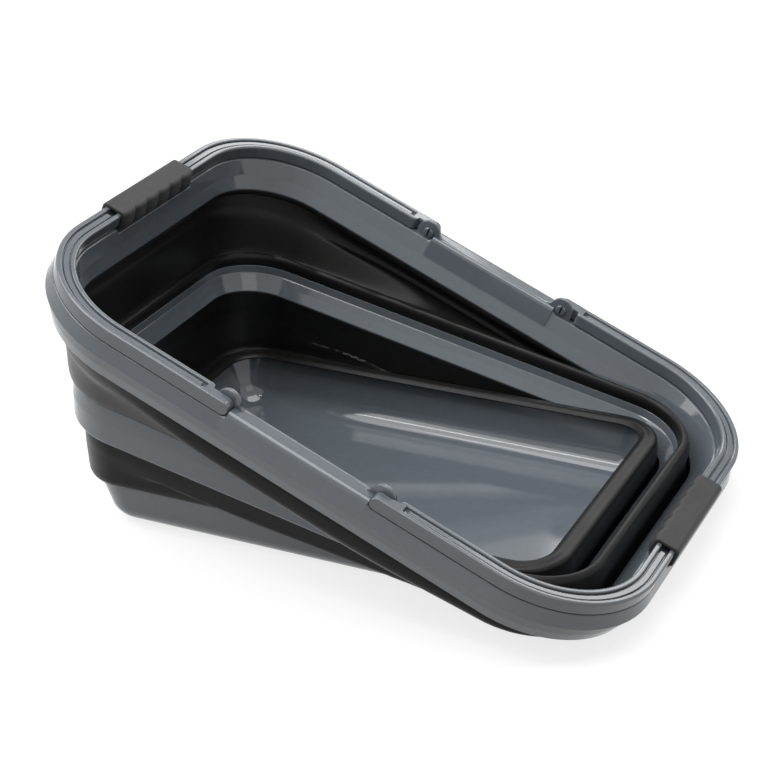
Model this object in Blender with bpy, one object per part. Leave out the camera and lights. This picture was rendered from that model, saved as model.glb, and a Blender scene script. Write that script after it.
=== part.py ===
"""Collapsible bucket, half folded: its +X end is pressed down and its -X end stands up.

Every moulding follows one family of rounded rectangles around a common core, so a point of a
profile is given by its inset from the handles' outline and its height. Lengths are in millimetres
here and become metres where a mesh is made. Origin: centre of the base's underside.
"""

import math

import bmesh
import bpy
from mathutils import Matrix, Vector

MM = 0.001

# Overall plan, at the outer edge of the two handles
LENGTH = 440.0
WIDTH = 316.0
CORNER_RADIUS = 80.0
CORNER_STEPS = 6

# Clearances
FIT_GAP = 0.3
SEAM_GAP = 0.35
PIN_PLAY = 0.3

# Base tray
BASE_HEIGHT = 36.0
BASE_WALL = 2.2
BASE_FLOOR = 2.4
BASE_RIM_INSET = 49.0
BASE_DRAFT = 6.0
BASE_FILLET = 18.0

# Middle ring: its folds are measured from the plane and inset of its fold line
RING_HEIGHT = 28.0
RING_FOOT_INSET = 37.4
RING_OUTER_INSET = 30.5
RING_OUTER_WALL = 1.4
RING_WALL_RISE = 6.0
RING_TOP_INSET = 34.2
RING_NECK_INSET = 43.4
RING_NECK_DROP = 17.6
RING_SKIRT = 2.4
RING_SKIRT_INSET = 36.0
RING_SKIRT_DROP = 26.2
RING_CHAMFER_DROP = 5.4

# Rim frame, with depths measured down from the top of the handles
RIM_DEPTH = 36.0
RIM_SHEET = 2.2
RIM_THROAT_INSET = 14.8
RIM_NECK_INSET = 23.3
RIM_NECK_DEPTH = 31.0
SKIRT_DEPTH = 20.2
SKIRT_FLARE = 2.9
SKIRT_STEP = 2.1
RIM_FOOT_INSET = 4.5
SADDLE_DEPTH = 5.2
SADDLE_ROUND = 3.6
GRIP_NOTCH_MARGIN = 2.5

# Rubber bands, with the width and half thickness of the bead on the tray's edge
BAND_SHEET = 2.0
BEAD_WIDTH = 9.4
BEAD_HALF = 1.6
UPPER_ROLL_INSET = 7.7
UPPER_ROLL_DEPTH = 52.0
LOWER_ROLL_INSET = 43.6

# Handles
HANDLE_WIDTH = 13.0
HANDLE_DEPTH = 9.3
RAIL_WIDTH = 4.1
CHANNEL_DEPTH = 2.4
PIVOT_SPREAD = 113.0
TIP_WIDTH = 8.6
RAIL_END_GAP = 2.6
CHANNEL_END_GAP = 4.0

# Ears of the rim and the pins that pass through them
EAR_RADIUS = 8.8
EAR_THICKNESS = 3.4
EAR_FILLET = 5.0
PIN_RADIUS = 2.35
PIN_HEAD_RADIUS = 4.0
PIN_HEAD_THICKNESS = 1.3
PIN_SLIT = 1.1
PIN_SLIT_DEPTH = 5.0
PIN_TIP_WALL = 3.2
ROUND_STEPS = 20

# Grips
GRIP_LENGTH = 90.0
GRIP_SHEET = 2.1
SCALLOPS = 6
SCALLOP_DEPTH = 2.6

# Folds: each stage's foot height when folded, and how far it draws out
RING_FOLDED_HEIGHT = 4.6
RING_TRAVEL = 76.2
RIM_FOLDED_HEIGHT = 4.6
RIM_TRAVEL = 85.4
RIM_REST_SHIFT = 3.9

CORE_X = LENGTH / 2 - CORNER_RADIUS
CORE_Y = WIDTH / 2 - CORNER_RADIUS
PIVOT_X = PIVOT_SPREAD / 2
PIVOT_DROP = HANDLE_DEPTH / 2
LEDGE_DEPTH = HANDLE_DEPTH + FIT_GAP
HALF_BAND = BAND_SHEET / 2
BAND_EDGE_INSET = 27.4
EAR_INSET = TIP_WIDTH + FIT_GAP
TIP_RADIUS = HANDLE_DEPTH / 2
SADDLE_END = PIVOT_X - TIP_RADIUS - 2 * FIT_GAP - TIP_WIDTH / 2
NOTCH_DEPTH = HANDLE_DEPTH + GRIP_SHEET + 4 * FIT_GAP
GRIP_NOTCH_HALF = GRIP_LENGTH / 2 + GRIP_NOTCH_MARGIN
RING_REACH = LENGTH / 2 - RING_FOOT_INSET
RIM_REACH = LENGTH / 2 - RIM_FOOT_INSET
LOWER_TILT = math.degrees(math.asin(RING_TRAVEL / 2 / RING_REACH))
UPPER_TILT = math.degrees(math.asin(RIM_TRAVEL / 2 / RIM_REACH))
RING_REST_HEIGHT = RING_FOLDED_HEIGHT + RING_TRAVEL / 2
RIM_REST_HEIGHT = RIM_FOLDED_HEIGHT + RIM_TRAVEL / 2


def clear_scene():
    """Start from nothing, whatever scene the script is run in."""
    for old in list(bpy.data.objects):
        bpy.data.objects.remove(old, do_unlink=True)


def make_material(name, colour, roughness):
    """One plain Principled finish."""
    material = bpy.data.materials.new(name)
    material.use_nodes = True
    shader = material.node_tree.nodes["Principled BSDF"]
    shader.inputs["Base Color"].default_value = (*colour, 1.0)
    shader.inputs["Roughness"].default_value = roughness
    shader.inputs["Metallic"].default_value = 0.0
    material.diffuse_color = (*colour, 1.0)
    return material


def add_object(name, bm, material):
    """Turn a bmesh in millimetres into a named object in metres."""
    bmesh.ops.scale(bm, vec=Vector((MM, MM, MM)), verts=bm.verts)
    bmesh.ops.recalc_face_normals(bm, faces=bm.faces)
    mesh = bpy.data.meshes.new(name)
    bm.to_mesh(mesh)
    bm.free()
    mesh.materials.append(material)
    mesh.shade_smooth()
    mesh.set_sharp_from_angle(angle=math.radians(32))
    obj = bpy.data.objects.new(name, mesh)
    bpy.context.scene.collection.objects.link(obj)
    return obj


def as_cutter(obj):
    """Mark a helper that only cuts or joins."""
    obj.hide_render = True
    obj.display_type = "WIRE"
    return obj


def boolean(target, other, operation):
    """Cut or join one object with another."""
    modifier = target.modifiers.new(other.name, "BOOLEAN")
    modifier.object = other
    modifier.operation = operation
    modifier.solver = "EXACT"


# Plan of the object
def stations(breaks_x=(), breaks_y=()):
    """Core points and outward directions around the plan, from the +X, +Y corner onwards."""
    found = []
    corners = ((1, 1, 0), (-1, 1, 90), (-1, -1, 180), (1, -1, 270))
    for number, (sx, sy, start) in enumerate(corners):
        centre = Vector((sx * CORE_X, sy * CORE_Y, 0))
        for step in range(CORNER_STEPS + 1):
            angle = math.radians(start + 90 * step / CORNER_STEPS)
            found.append((centre, Vector((math.cos(angle), math.sin(angle), 0))))
        along_x = number in (0, 2)
        breaks = sorted(breaks_x if along_x else breaks_y, reverse=number in (0, 1))
        outward = found[-1][1]
        for value in breaks:
            place = Vector((value, centre.y, 0)) if along_x else Vector((centre.x, value, 0))
            found.append((place, outward))
    return found


def plan_point(station, inset, height):
    """A point at this inset from the handles' outline."""
    core, outward = station
    return core + outward * (CORNER_RADIUS - inset) + Vector((0, 0, height))


def loft_closed(sections):
    """Skin a closed run of closed sections, each a list of the same number of points."""
    bm = bmesh.new()
    rings = [[bm.verts.new(point) for point in section] for section in sections]
    for index, ring in enumerate(rings):
        other = rings[(index + 1) % len(rings)]
        join_rings(bm, ring, other)
    return bm


def join_rings(bm, ring, other):
    """Faces between two rings of vertices."""
    for here in range(len(ring)):
        there = (here + 1) % len(ring)
        bm.faces.new((ring[here], ring[there], other[there], other[here]))


def loft_open(sections):
    """Skin a run of closed sections and cap both ends."""
    bm = bmesh.new()
    rings = [[bm.verts.new(point) for point in section] for section in sections]
    for ring, other in zip(rings[:-1], rings[1:]):
        join_rings(bm, ring, other)
    bm.faces.new(list(reversed(rings[0])))
    bm.faces.new(rings[-1])
    return bm


def turned(centre, axis, profile, steps=ROUND_STEPS):
    """A solid of revolution about axis; the profile holds (distance along, radius) pairs."""
    axis = Vector(axis).normalized()
    side = axis.orthogonal().normalized()
    across = axis.cross(side)
    sections = []
    for along, radius in profile:
        ring = []
        for step in range(steps):
            angle = 2 * math.pi * step / steps
            reach = side * math.cos(angle) + across * math.sin(angle)
            ring.append(Vector(centre) + axis * along + reach * radius)
        sections.append(ring)
    return loft_open(sections)


# Frames of the stages at rest
def tilted(centre_x, centre_z, degrees):
    """A stage's frame: its centre, and the angle by which its +X end is down."""
    return Matrix.Translation((centre_x, 0, centre_z)) @ Matrix.Rotation(math.radians(degrees), 4, "Y")


def ring_frame():
    """Frame of the ring's top plane at rest."""
    foot = tilted(0, RING_REST_HEIGHT, LOWER_TILT)
    return foot @ Matrix.Translation((0, 0, RING_HEIGHT))


def rim_frame():
    """Frame of the handles' top plane at rest."""
    foot = tilted(0, RING_REST_HEIGHT, LOWER_TILT)
    foot = foot @ tilted(RIM_REST_SHIFT, RIM_REST_HEIGHT, UPPER_TILT)
    return foot @ Matrix.Translation((0, 0, RIM_DEPTH))


def turning_centre(start, end, degrees):
    """The point about which a turn of this angle, +X end down, carries start to end, in XZ."""
    middle = ((start[0] + end[0]) / 2, (start[1] + end[1]) / 2)
    reach = 0.5 / math.tan(math.radians(degrees) / 2)
    run = end[0] - start[0]
    rise = end[1] - start[1]
    return Vector((middle[0] + rise * reach, 0, middle[1] - run * reach))


def fold_axes():
    """Points on the four fold axes at rest, two for each stage, from the base upwards."""
    lower = tilted(0, RING_REST_HEIGHT, LOWER_TILT)
    ring_rest = (0, RING_REST_HEIGHT)
    rim_rest = (RIM_REST_SHIFT, RIM_REST_HEIGHT)
    ring_raised = (0, RING_FOLDED_HEIGHT + RING_TRAVEL)
    rim_raised = (0, RIM_FOLDED_HEIGHT + RIM_TRAVEL)
    return {
        "lower_press_axis": turning_centre(ring_rest, (0, RING_FOLDED_HEIGHT), -LOWER_TILT),
        "lower_lift_axis": turning_centre(ring_rest, ring_raised, -LOWER_TILT),
        "upper_press_axis": lower @ turning_centre(rim_rest, (0, RIM_FOLDED_HEIGHT), -UPPER_TILT),
        "upper_lift_axis": lower @ turning_centre(rim_rest, rim_raised, -UPPER_TILT),
    }


# Base tray
def base_wall_inset(drop):
    """Inset of the tray's outer face at this distance below its top."""
    return BASE_RIM_INSET + BASE_DRAFT * drop / BASE_HEIGHT


def base_profile():
    """Tray profile from the middle of its inner floor, over the wall, to its underside."""
    foot = base_wall_inset(BASE_HEIGHT)
    inner_foot = foot + BASE_WALL
    points = []
    for degrees in (90, 65, 40, 15):
        angle = math.radians(degrees)
        inset = inner_foot + BASE_FILLET * (1 - math.cos(angle))
        points.append((inset, BASE_FLOOR + BASE_FILLET * (1 - math.sin(angle))))
    points.append((BASE_RIM_INSET + BASE_WALL, BASE_HEIGHT))
    points.append((BASE_RIM_INSET, BASE_HEIGHT))
    for degrees in (10, 40, 65, 90):
        angle = math.radians(degrees)
        points.append((foot + BASE_FILLET * (1 - math.cos(angle)), BASE_FILLET * (1 - math.sin(angle))))
    return points


def build_base(material):
    """The tray that the object stands on."""
    plan = stations()
    sections = [[plan_point(s, inset, height) for s in plan] for inset, height in base_profile()]
    return add_object("base_tray", loft_open(sections), material)


# Middle ring
def ring_profile():
    """Ring profile around its section, heights measured from its inner top edge."""
    outer = RING_OUTER_INSET
    wall = outer + RING_OUTER_WALL
    slope = RING_NECK_INSET - RING_TOP_INSET
    foot = RING_SKIRT_INSET
    drop = RING_SKIRT_DROP
    return [
        (wall, 0.0),
        (wall - 0.1, RING_WALL_RISE - 0.5),
        (wall - 0.5, RING_WALL_RISE),
        (outer + 0.3, RING_WALL_RISE),
        (outer, RING_WALL_RISE - 0.5),
        (outer + 0.1, 0.0),
        (outer + 0.4, -0.27 * drop),
        (outer + 1.5, -0.54 * drop),
        (outer + 1.7, -0.76 * drop),
        (outer + 2.8, -0.92 * drop),
        (foot, -drop),
        (foot + RING_SKIRT, -drop),
        (outer + 2.7 + RING_SKIRT, -0.84 * drop),
        (outer + 1.9 + RING_SKIRT, -0.7 * drop),
        (outer + 1.6 + RING_SKIRT, -0.5 * drop),
        (outer + 1.9 + RING_SKIRT, -0.3 * drop),
        (RING_TOP_INSET + 0.45 * slope - RING_SKIRT - 0.1, -0.64 * RING_NECK_DROP),
        (RING_NECK_INSET - RING_SKIRT, -RING_NECK_DROP),
        (RING_NECK_INSET, -RING_NECK_DROP),
        (RING_NECK_INSET - 0.4, -RING_NECK_DROP + 1.8),
        (RING_TOP_INSET + 0.45 * slope, -0.58 * RING_NECK_DROP),
        (RING_TOP_INSET + 1.7, -RING_CHAMFER_DROP - 0.9),
        (RING_TOP_INSET + 1.1, -RING_CHAMFER_DROP),
        (RING_TOP_INSET, -0.3),
        (RING_TOP_INSET - 0.3, 0.0),
    ]


def build_ring(material):
    """The rigid hoop between the two rubber bands."""
    profile = ring_profile()
    sections = [[plan_point(s, inset, height) for inset, height in profile] for s in stations()]
    return add_object("middle_ring", loft_closed(sections), material)


# Rim frame
def rim_profile(top_depth, crown):
    """Rim section with its flange at this depth; crown rounds the flange's two edges over."""
    sheet = RIM_SHEET
    under = top_depth + sheet + 0.4
    skirt_top = 0.5 - SKIRT_FLARE * max(top_depth - LEDGE_DEPTH, 0) / SKIRT_DEPTH
    throat_slope = (RIM_NECK_INSET - RIM_THROAT_INSET) / (RIM_NECK_DEPTH - LEDGE_DEPTH)
    shoulder = max(top_depth, LEDGE_DEPTH) + 1.0
    throat = RIM_THROAT_INSET + throat_slope * (shoulder - LEDGE_DEPTH) * 0.6
    middle_depth = (shoulder + RIM_NECK_DEPTH) / 2
    middle_inset = (throat + RIM_NECK_INSET) / 2 - 0.4
    return [
        (skirt_top - 1.0, -shoulder),
        (skirt_top - 0.4 + 0.2 * crown, -top_depth - 0.35 * crown),
        (skirt_top + crown, -top_depth),
        (throat - 0.8 - crown, -top_depth),
        (throat - 0.4 - 0.2 * crown, -top_depth - 0.35 * crown),
        (throat, -shoulder),
        (middle_inset, -middle_depth),
        (RIM_NECK_INSET, -RIM_NECK_DEPTH),
        (RIM_NECK_INSET - sheet, -RIM_NECK_DEPTH),
        (middle_inset - sheet, -middle_depth),
        (throat - sheet, -max(under, shoulder + 0.4)),
        (throat - sheet - crown * 0.4 - 0.6, -under),
        (skirt_top + sheet + crown * 0.4 + 0.4, -under),
        (skirt_top + sheet - 0.6, -max(under, shoulder + 0.4)),
        (sheet - SKIRT_FLARE + SKIRT_STEP, -SKIRT_DEPTH),
        (RIM_FOOT_INSET * 0.3 + sheet, -0.5 * (SKIRT_DEPTH + RIM_DEPTH)),
        (RIM_FOOT_INSET + sheet, -RIM_DEPTH),
        (RIM_FOOT_INSET, -RIM_DEPTH),
        (RIM_FOOT_INSET * 0.3, -0.5 * (SKIRT_DEPTH + RIM_DEPTH)),
        (SKIRT_STEP - SKIRT_FLARE, -SKIRT_DEPTH - 0.5),
        (-SKIRT_FLARE, -SKIRT_DEPTH),
    ]


def rim_section(station):
    """The rim's section here: ledge under the handles, saddle between the ears, notch under a grip."""
    core, outward = station
    on_side = abs(outward.y) > 0.99 and abs(core.x) < CORE_X
    on_end = abs(outward.x) > 0.99 and abs(core.y) < CORE_Y
    if on_side and abs(core.x) < SADDLE_END:
        return rim_profile(SADDLE_DEPTH, SADDLE_ROUND)
    if on_end and abs(core.y) < GRIP_NOTCH_HALF:
        return rim_profile(NOTCH_DEPTH, 0.0)
    return rim_profile(LEDGE_DEPTH, 0.0)


def build_rim_shell(material):
    """The rim moulding before its ears are joined on."""
    edge = 0.8
    saddle = [-SADDLE_END - edge, -SADDLE_END + edge, SADDLE_END - edge, SADDLE_END + edge]
    notch = [-GRIP_NOTCH_HALF - edge, -GRIP_NOTCH_HALF + edge, GRIP_NOTCH_HALF - edge, GRIP_NOTCH_HALF + edge]
    sections = []
    for station in stations(saddle, notch):
        sections.append([plan_point(station, i, h) for i, h in rim_section(station)])
    return add_object("rim_frame", loft_closed(sections), material)


def ear_outline(side):
    """Outline of an ear in the rim's XZ plane, about its pin; side is the sign of X."""
    root = -(LEDGE_DEPTH + 0.6 * RIM_SHEET) + PIVOT_DROP
    points = []
    for degrees in range(0, 181, 15):
        angle = math.radians(degrees)
        points.append((EAR_RADIUS * math.cos(angle), EAR_RADIUS * math.sin(angle)))
    points.append((-EAR_RADIUS, root + EAR_FILLET))
    for degrees in (30, 60, 90):
        angle = math.radians(degrees)
        reach = EAR_FILLET * (1 - math.cos(angle))
        points.append((-EAR_RADIUS - reach, root + EAR_FILLET * (1 - math.sin(angle)) + 0.6))
    points.append((-EAR_RADIUS - EAR_FILLET, root))
    points.append((EAR_RADIUS, root))
    return [(x * side, z) for x, z in points]


def build_ear(material, name, end, side):
    """One ear plate with its pin hole; end is the sign of X and side the sign of Y."""
    outer = WIDTH / 2 - EAR_INSET
    inner = outer - EAR_THICKNESS
    sections = []
    for y in (outer, inner):
        outline = ear_outline(end)
        sections.append([Vector((end * PIVOT_X + x, side * y, z - PIVOT_DROP)) for x, z in outline])
    ear = add_object(name, loft_open(sections), material)
    radius = PIN_RADIUS + PIN_PLAY
    middle = Vector((end * PIVOT_X, side * (outer + inner) / 2, -PIVOT_DROP))
    bore = turned(middle, (0, 1, 0), [(-EAR_THICKNESS, radius), (EAR_THICKNESS, radius)])
    cutter = as_cutter(add_object(name + "_bore", bore, material))
    boolean(ear, cutter, "DIFFERENCE")
    return as_cutter(ear)


def build_rim(material):
    """The rim frame with its four ears."""
    rim = build_rim_shell(material)
    for end in (-1, 1):
        for side in (-1, 1):
            name = f"ear_{'right' if end > 0 else 'left'}_{'far' if side > 0 else 'near'}"
            boolean(rim, build_ear(material, name, end, side), "UNION")
    return rim


# Rubber bands
def key_shares(share, keys):
    """How much each key section counts at this share; keys run from the drawn end to the folded one."""
    weights = [0.0] * len(keys)
    places = [key[0] for key in keys]
    if share >= places[0]:
        weights[0] = 1.0
    elif share <= places[-1]:
        weights[-1] = 1.0
    for index in range(len(places) - 1):
        high = places[index]
        low = places[index + 1]
        if low < share < high:
            weights[index] = (share - low) / (high - low)
            weights[index + 1] = 1 - weights[index]
    return weights


def band_object(name, material, lower, upper, keys, halves, reach):
    """A rubber band between two stages.

    keys hold (share, points): share is 1 where the band is drawn out and 0 where it is folded, and
    the points are (stage, inset, height) along the middle of the sheet, from the lower stage to the
    upper one. halves are the sheet's half thickness at the points. reach is half the length over
    which the band folds.
    """
    breaks = [CORE_X * (2 * step / 14 - 1) for step in range(1, 14)]
    frames = {"lower": lower, "upper": upper}
    sections = []
    for station in stations(breaks):
        core, outward = station
        place = core.x + outward.x * (CORNER_RADIUS - BAND_EDGE_INSET)
        share = min(max(0.5 - place / (2 * reach), 0.0), 1.0)
        middle = [Vector((0, 0, 0)) for half in halves]
        for weight, key in zip(key_shares(share, keys), keys):
            for index, (stage, inset, height) in enumerate(key[1]):
                middle[index] += weight * (frames[stage] @ plan_point(station, inset, height))
        sections.append(thickened(middle, halves, Vector((-outward.y, outward.x, 0))))
    return add_object(name, loft_closed(sections), material)


def thickened(middle, halves, along):
    """A closed section of the rubber sheet's thickness around its middle line."""
    left = []
    right = []
    for index, point in enumerate(middle):
        before = middle[max(index - 1, 0)]
        after = middle[min(index + 1, len(middle) - 1)]
        across = along.cross((after - before).normalized()).normalized()
        left.append(point + across * halves[index])
        right.append(point - across * halves[index])
    return left + list(reversed(right))


def build_lower_band(material):
    """Rubber band from the bead on the tray's edge to the underside of the ring."""
    base_top = Matrix.Translation((0, 0, BASE_HEIGHT))
    seat = FIT_GAP + HALF_BAND
    edge = BASE_RIM_INSET
    roll = LOWER_ROLL_INSET
    end_inset = RING_NECK_INSET - 1.6
    end_drop = -RING_NECK_DROP - SEAM_GAP - 0.4
    bead = [
        ("lower", edge + BEAD_WIDTH, seat + 0.1),
        ("lower", edge + 0.64 * BEAD_WIDTH, FIT_GAP + 1.2 * BEAD_HALF),
        ("lower", edge + 0.22 * BEAD_WIDTH, FIT_GAP + 0.9 * BEAD_HALF),
        ("lower", edge - 0.8, seat + 0.2),
    ]
    neck = ("upper", end_inset + 0.1, end_drop - 5.0)
    end = ("upper", end_inset, end_drop)
    drawn = [
        ("lower", edge - 3.4, seat + 0.4),
        ("lower", edge - 4.7, seat + 2.7),
        ("lower", edge - 5.1, seat + 10.7),
        ("upper", roll - 0.4, -44.0),
        ("upper", roll - 1.4, -36.5),
        ("upper", roll - 1.4, -30.0),
    ]
    shallow = [
        ("lower", edge - 2.1, seat - 0.4),
        ("upper", roll + 2.6, -45.6),
        ("upper", roll + 1.7, -46.4),
        ("upper", roll + 0.7, -45.2),
        ("upper", roll - 0.2, -39.0),
        ("upper", roll - 1.1, -31.0),
    ]
    rolled = [
        ("lower", edge - 1.7, -1.0),
        ("upper", roll + 3.8, -37.5),
        ("upper", roll + 2.5, -42.0),
        ("upper", roll + 0.6, -41.6),
        ("upper", roll - 0.4, -36.0),
        ("upper", roll - 1.1, -30.0),
    ]
    tight = [
        ("lower", edge - 1.9, -1.5),
        ("upper", roll + 3.7, -24.0),
        ("upper", roll + 3.5, -35.0),
        ("upper", roll + 1.8, -38.8),
        ("upper", roll, -37.0),
        ("upper", roll - 1.0, -30.0),
    ]
    folded = [
        ("lower", edge - 2.1, -2.0),
        ("lower", edge - 1.7, -14.0),
        ("upper", roll + 3.3, -21.5),
        ("upper", roll + 2.0, -25.4),
        ("upper", roll, -26.6),
        ("upper", roll - 1.3, -24.6),
    ]
    neck_folded = ("upper", end_inset + 0.1, end_drop - 3.0)
    keys = [
        (0.76, bead + drawn + [neck, end]),
        (0.62, bead + shallow + [neck, end]),
        (0.42, bead + rolled + [neck, end]),
        (0.16, bead + tight + [neck, end]),
        (0.0, bead + folded + [neck_folded, end]),
    ]
    halves = [0.9 * HALF_BAND, BEAD_HALF, 0.85 * BEAD_HALF] + [HALF_BAND] * 9
    return band_object("lower_band", material, base_top, ring_frame(), keys, halves, RING_REACH)


def build_upper_band(material):
    """Rubber band from the seat in the ring's top to the neck of the rim."""
    seat = RING_OUTER_INSET + RING_OUTER_WALL + FIT_GAP + HALF_BAND
    outside = RING_OUTER_INSET - FIT_GAP - HALF_BAND
    over = RING_WALL_RISE + FIT_GAP + HALF_BAND
    roll = UPPER_ROLL_INSET
    depth = -UPPER_ROLL_DEPTH
    under = -RIM_DEPTH
    end_inset = RIM_NECK_INSET - RIM_SHEET / 2
    end_drop = -RIM_NECK_DEPTH - SEAM_GAP
    lip = [("lower", seat, SEAM_GAP), ("lower", seat + 0.1, over - 1.9), ("lower", seat - 1.2, over + 0.7)]
    collar = [("upper", end_inset - 0.4, end_drop - 3.2), ("upper", end_inset, end_drop)]
    drawn = [
        ("lower", outside, over),
        ("lower", outside - 1.2, over + 1.8),
        ("upper", roll + 11.9, depth - 3.5),
        ("upper", roll + 9.3, depth + 0.5),
        ("upper", roll + 7.2, depth + 5.0),
        ("upper", roll + 5.3, depth + 9.5),
        ("upper", roll + 3.9, under - 2.2),
        ("upper", roll + 9.5, under - 0.6),
    ]
    rolled = [
        ("lower", outside, over),
        ("lower", outside - 2.0, over - 0.7),
        ("upper", roll + 6.8, depth + 1.4),
        ("upper", roll + 3.1, depth),
        ("upper", roll + 0.1, depth + 3.5),
        ("upper", roll - 0.1, depth + 9.5),
        ("upper", roll + 1.6, under - 1.7),
        ("upper", roll + 9.5, under - 0.4),
    ]
    shallow = [
        ("lower", outside, over - 0.3),
        ("lower", outside - 2.2, over - 5.3),
        ("upper", roll + 18.7, under - 0.5),
        ("upper", roll + 12.3, under - 5.0),
        ("upper", roll + 4.3, under - 5.4),
        ("upper", roll + 1.1, under - 3.7),
        ("upper", roll + 2.6, under - 1.6),
        ("upper", roll + 9.5, under - 0.4),
    ]
    folded = [
        ("lower", outside - 0.3, over - 0.9),
        ("lower", outside - 2.2, over - 5.8),
        ("lower", outside - 2.6, over - 15.3),
        ("upper", roll + 20.7, under + 6.5),
        ("upper", roll + 19.7, under + 2.4),
        ("upper", roll + 17.5, under + 1.0),
        ("upper", roll + 15.5, under + 1.5),
        ("upper", roll + 14.6, under + 2.4),
    ]
    collar_folded = [("upper", end_inset, end_drop - 1.0), ("upper", end_inset, end_drop)]
    keys = [
        (0.8, lip + drawn + collar),
        (0.7, lip + rolled + collar),
        (0.335, lip + rolled + collar),
        (0.13, lip + shallow + collar),
        (0.04, lip + folded + collar_folded),
    ]
    halves = [HALF_BAND] * 13
    return band_object("upper_band", material, ring_frame(), rim_frame(), keys, halves, RIM_REACH)


# Handles
def handle_section(width, channel, drop_top, drop_bottom):
    """Bar section as (inset, height): two rounded rails with a channel between them."""
    rail = min(RAIL_WIDTH, width / 2 - 0.3)
    edge = 0.28 * (drop_bottom - drop_top)
    return [
        (0.0, -drop_top - edge),
        (0.3 * rail, -drop_top),
        (0.8 * rail, -drop_top),
        (rail, -drop_top - channel),
        (width - rail, -drop_top - channel),
        (width - 0.8 * rail, -drop_top),
        (width - 0.3 * rail, -drop_top),
        (width, -drop_top - edge),
        (width, -drop_bottom + edge),
        (width - 0.3 * rail, -drop_bottom),
        (0.3 * rail, -drop_bottom),
        (0.0, -drop_bottom + edge),
    ]


def handle_stations(end):
    """Stations of one U from its near tip round to its far tip, with each one's section."""
    rail_end = PIVOT_X + EAR_RADIUS + RAIL_END_GAP
    channel_end = rail_end + CHANNEL_END_GAP
    run = []
    for degrees in (12, 35, 60, 90):
        angle = math.radians(degrees)
        reach = TIP_RADIUS * math.sin(angle)
        x = PIVOT_X - TIP_RADIUS * math.cos(angle)
        section = handle_section(TIP_WIDTH, 0.1, PIVOT_DROP - reach, PIVOT_DROP + reach)
        run.append((x, section))
    tip = handle_section(TIP_WIDTH, 0.1, 0.0, HANDLE_DEPTH)
    whole = handle_section(HANDLE_WIDTH, 0.1, 0.0, HANDLE_DEPTH)
    grooved = handle_section(HANDLE_WIDTH, CHANNEL_DEPTH, 0.0, HANDLE_DEPTH)
    run.append((rail_end, tip))
    run.append((rail_end + 0.6, whole))
    run.append((channel_end, whole))
    run.append((channel_end + 0.8, grooved))
    sections = []
    for x, section in run:
        sections.append(((Vector((end * x, -CORE_Y, 0)), Vector((0, -1, 0))), section))
    turn = [(s, grooved) for s in stations() if s[0].x * end > 0]
    near = [item for item in turn if item[0][0].y < 0]
    far = [item for item in turn if item[0][0].y > 0]
    near.sort(key=lambda item: abs(item[0][1].x))
    far.sort(key=lambda item: -abs(item[0][1].x))
    mirrored = []
    for (core, outward), section in reversed(sections):
        mirrored.append(((Vector((core.x, -core.y, 0)), -outward), section))
    return sections + near + far + mirrored


def build_handle(material, name, end):
    """One U handle lying on the rim's ledge."""
    sections = []
    for station, section in handle_stations(end):
        sections.append([plan_point(station, inset, height) for inset, height in section])
    handle = add_object(name, loft_open(sections), material)
    for side in (-1, 1):
        start = WIDTH / 2 - PIN_TIP_WALL
        stop = WIDTH / 2 - TIP_WIDTH - 1.0
        radius = PIN_RADIUS + FIT_GAP
        axis_point = (end * PIVOT_X, 0, -PIVOT_DROP)
        bore = turned(axis_point, (0, side, 0), [(stop, radius), (start, radius)])
        cutter = add_object(f"{name}_bore_{'far' if side > 0 else 'near'}", bore, material)
        boolean(handle, as_cutter(cutter), "DIFFERENCE")
    return handle


def build_pin(material, name, end, side):
    """A split snap pin: its head shows inside the ear, its shank sits in the handle's tip."""
    head_face = WIDTH / 2 - EAR_INSET - EAR_THICKNESS - FIT_GAP - PIN_HEAD_THICKNESS
    shoulder = head_face + PIN_HEAD_THICKNESS
    shank_end = WIDTH / 2 - PIN_TIP_WALL - FIT_GAP
    profile = [
        (head_face, PIN_HEAD_RADIUS - 0.7),
        (head_face + 0.4 * PIN_HEAD_THICKNESS, PIN_HEAD_RADIUS),
        (shoulder, PIN_HEAD_RADIUS),
        (shoulder, PIN_RADIUS),
        (shank_end, PIN_RADIUS),
    ]
    axis_point = (end * PIVOT_X, 0, -PIVOT_DROP)
    pin = add_object(name, turned(axis_point, (0, side, 0), profile), material)
    slit = bmesh.new()
    bmesh.ops.create_cube(slit, size=1.0)
    size = Vector((PIN_SLIT, 2 * PIN_SLIT_DEPTH, 4 * PIN_HEAD_RADIUS))
    bmesh.ops.scale(slit, vec=size, verts=slit.verts)
    place = Vector((end * PIVOT_X, side * head_face, -PIVOT_DROP))
    bmesh.ops.translate(slit, verts=slit.verts, vec=place)
    boolean(pin, as_cutter(add_object(name + "_slit", slit, material)), "DIFFERENCE")
    return pin


# Grips
def grip_section(swell):
    """Outer section of the sleeve as (inset, height), swollen by this much at the fingers."""
    side = GRIP_SHEET + FIT_GAP
    low = -HANDLE_DEPTH - side
    inner = HANDLE_WIDTH + side
    return [
        (-side, -0.3 * HANDLE_DEPTH),
        (-0.5 * side, 0.35 * side),
        (1.6, side),
        (inner - 4.2, side),
        (inner - 1.2, 0.3 * side),
        (inner + 0.5 * swell, -0.35 * HANDLE_DEPTH),
        (inner + swell, -0.75 * HANDLE_DEPTH),
        (inner - 1.4 + 0.7 * swell, low + 1.2 - 0.2 * swell),
        (inner - 4.4, low),
        (1.8, low),
        (-0.6 * side, low + 0.9),
        (-side, -0.7 * HANDLE_DEPTH),
    ]


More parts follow.
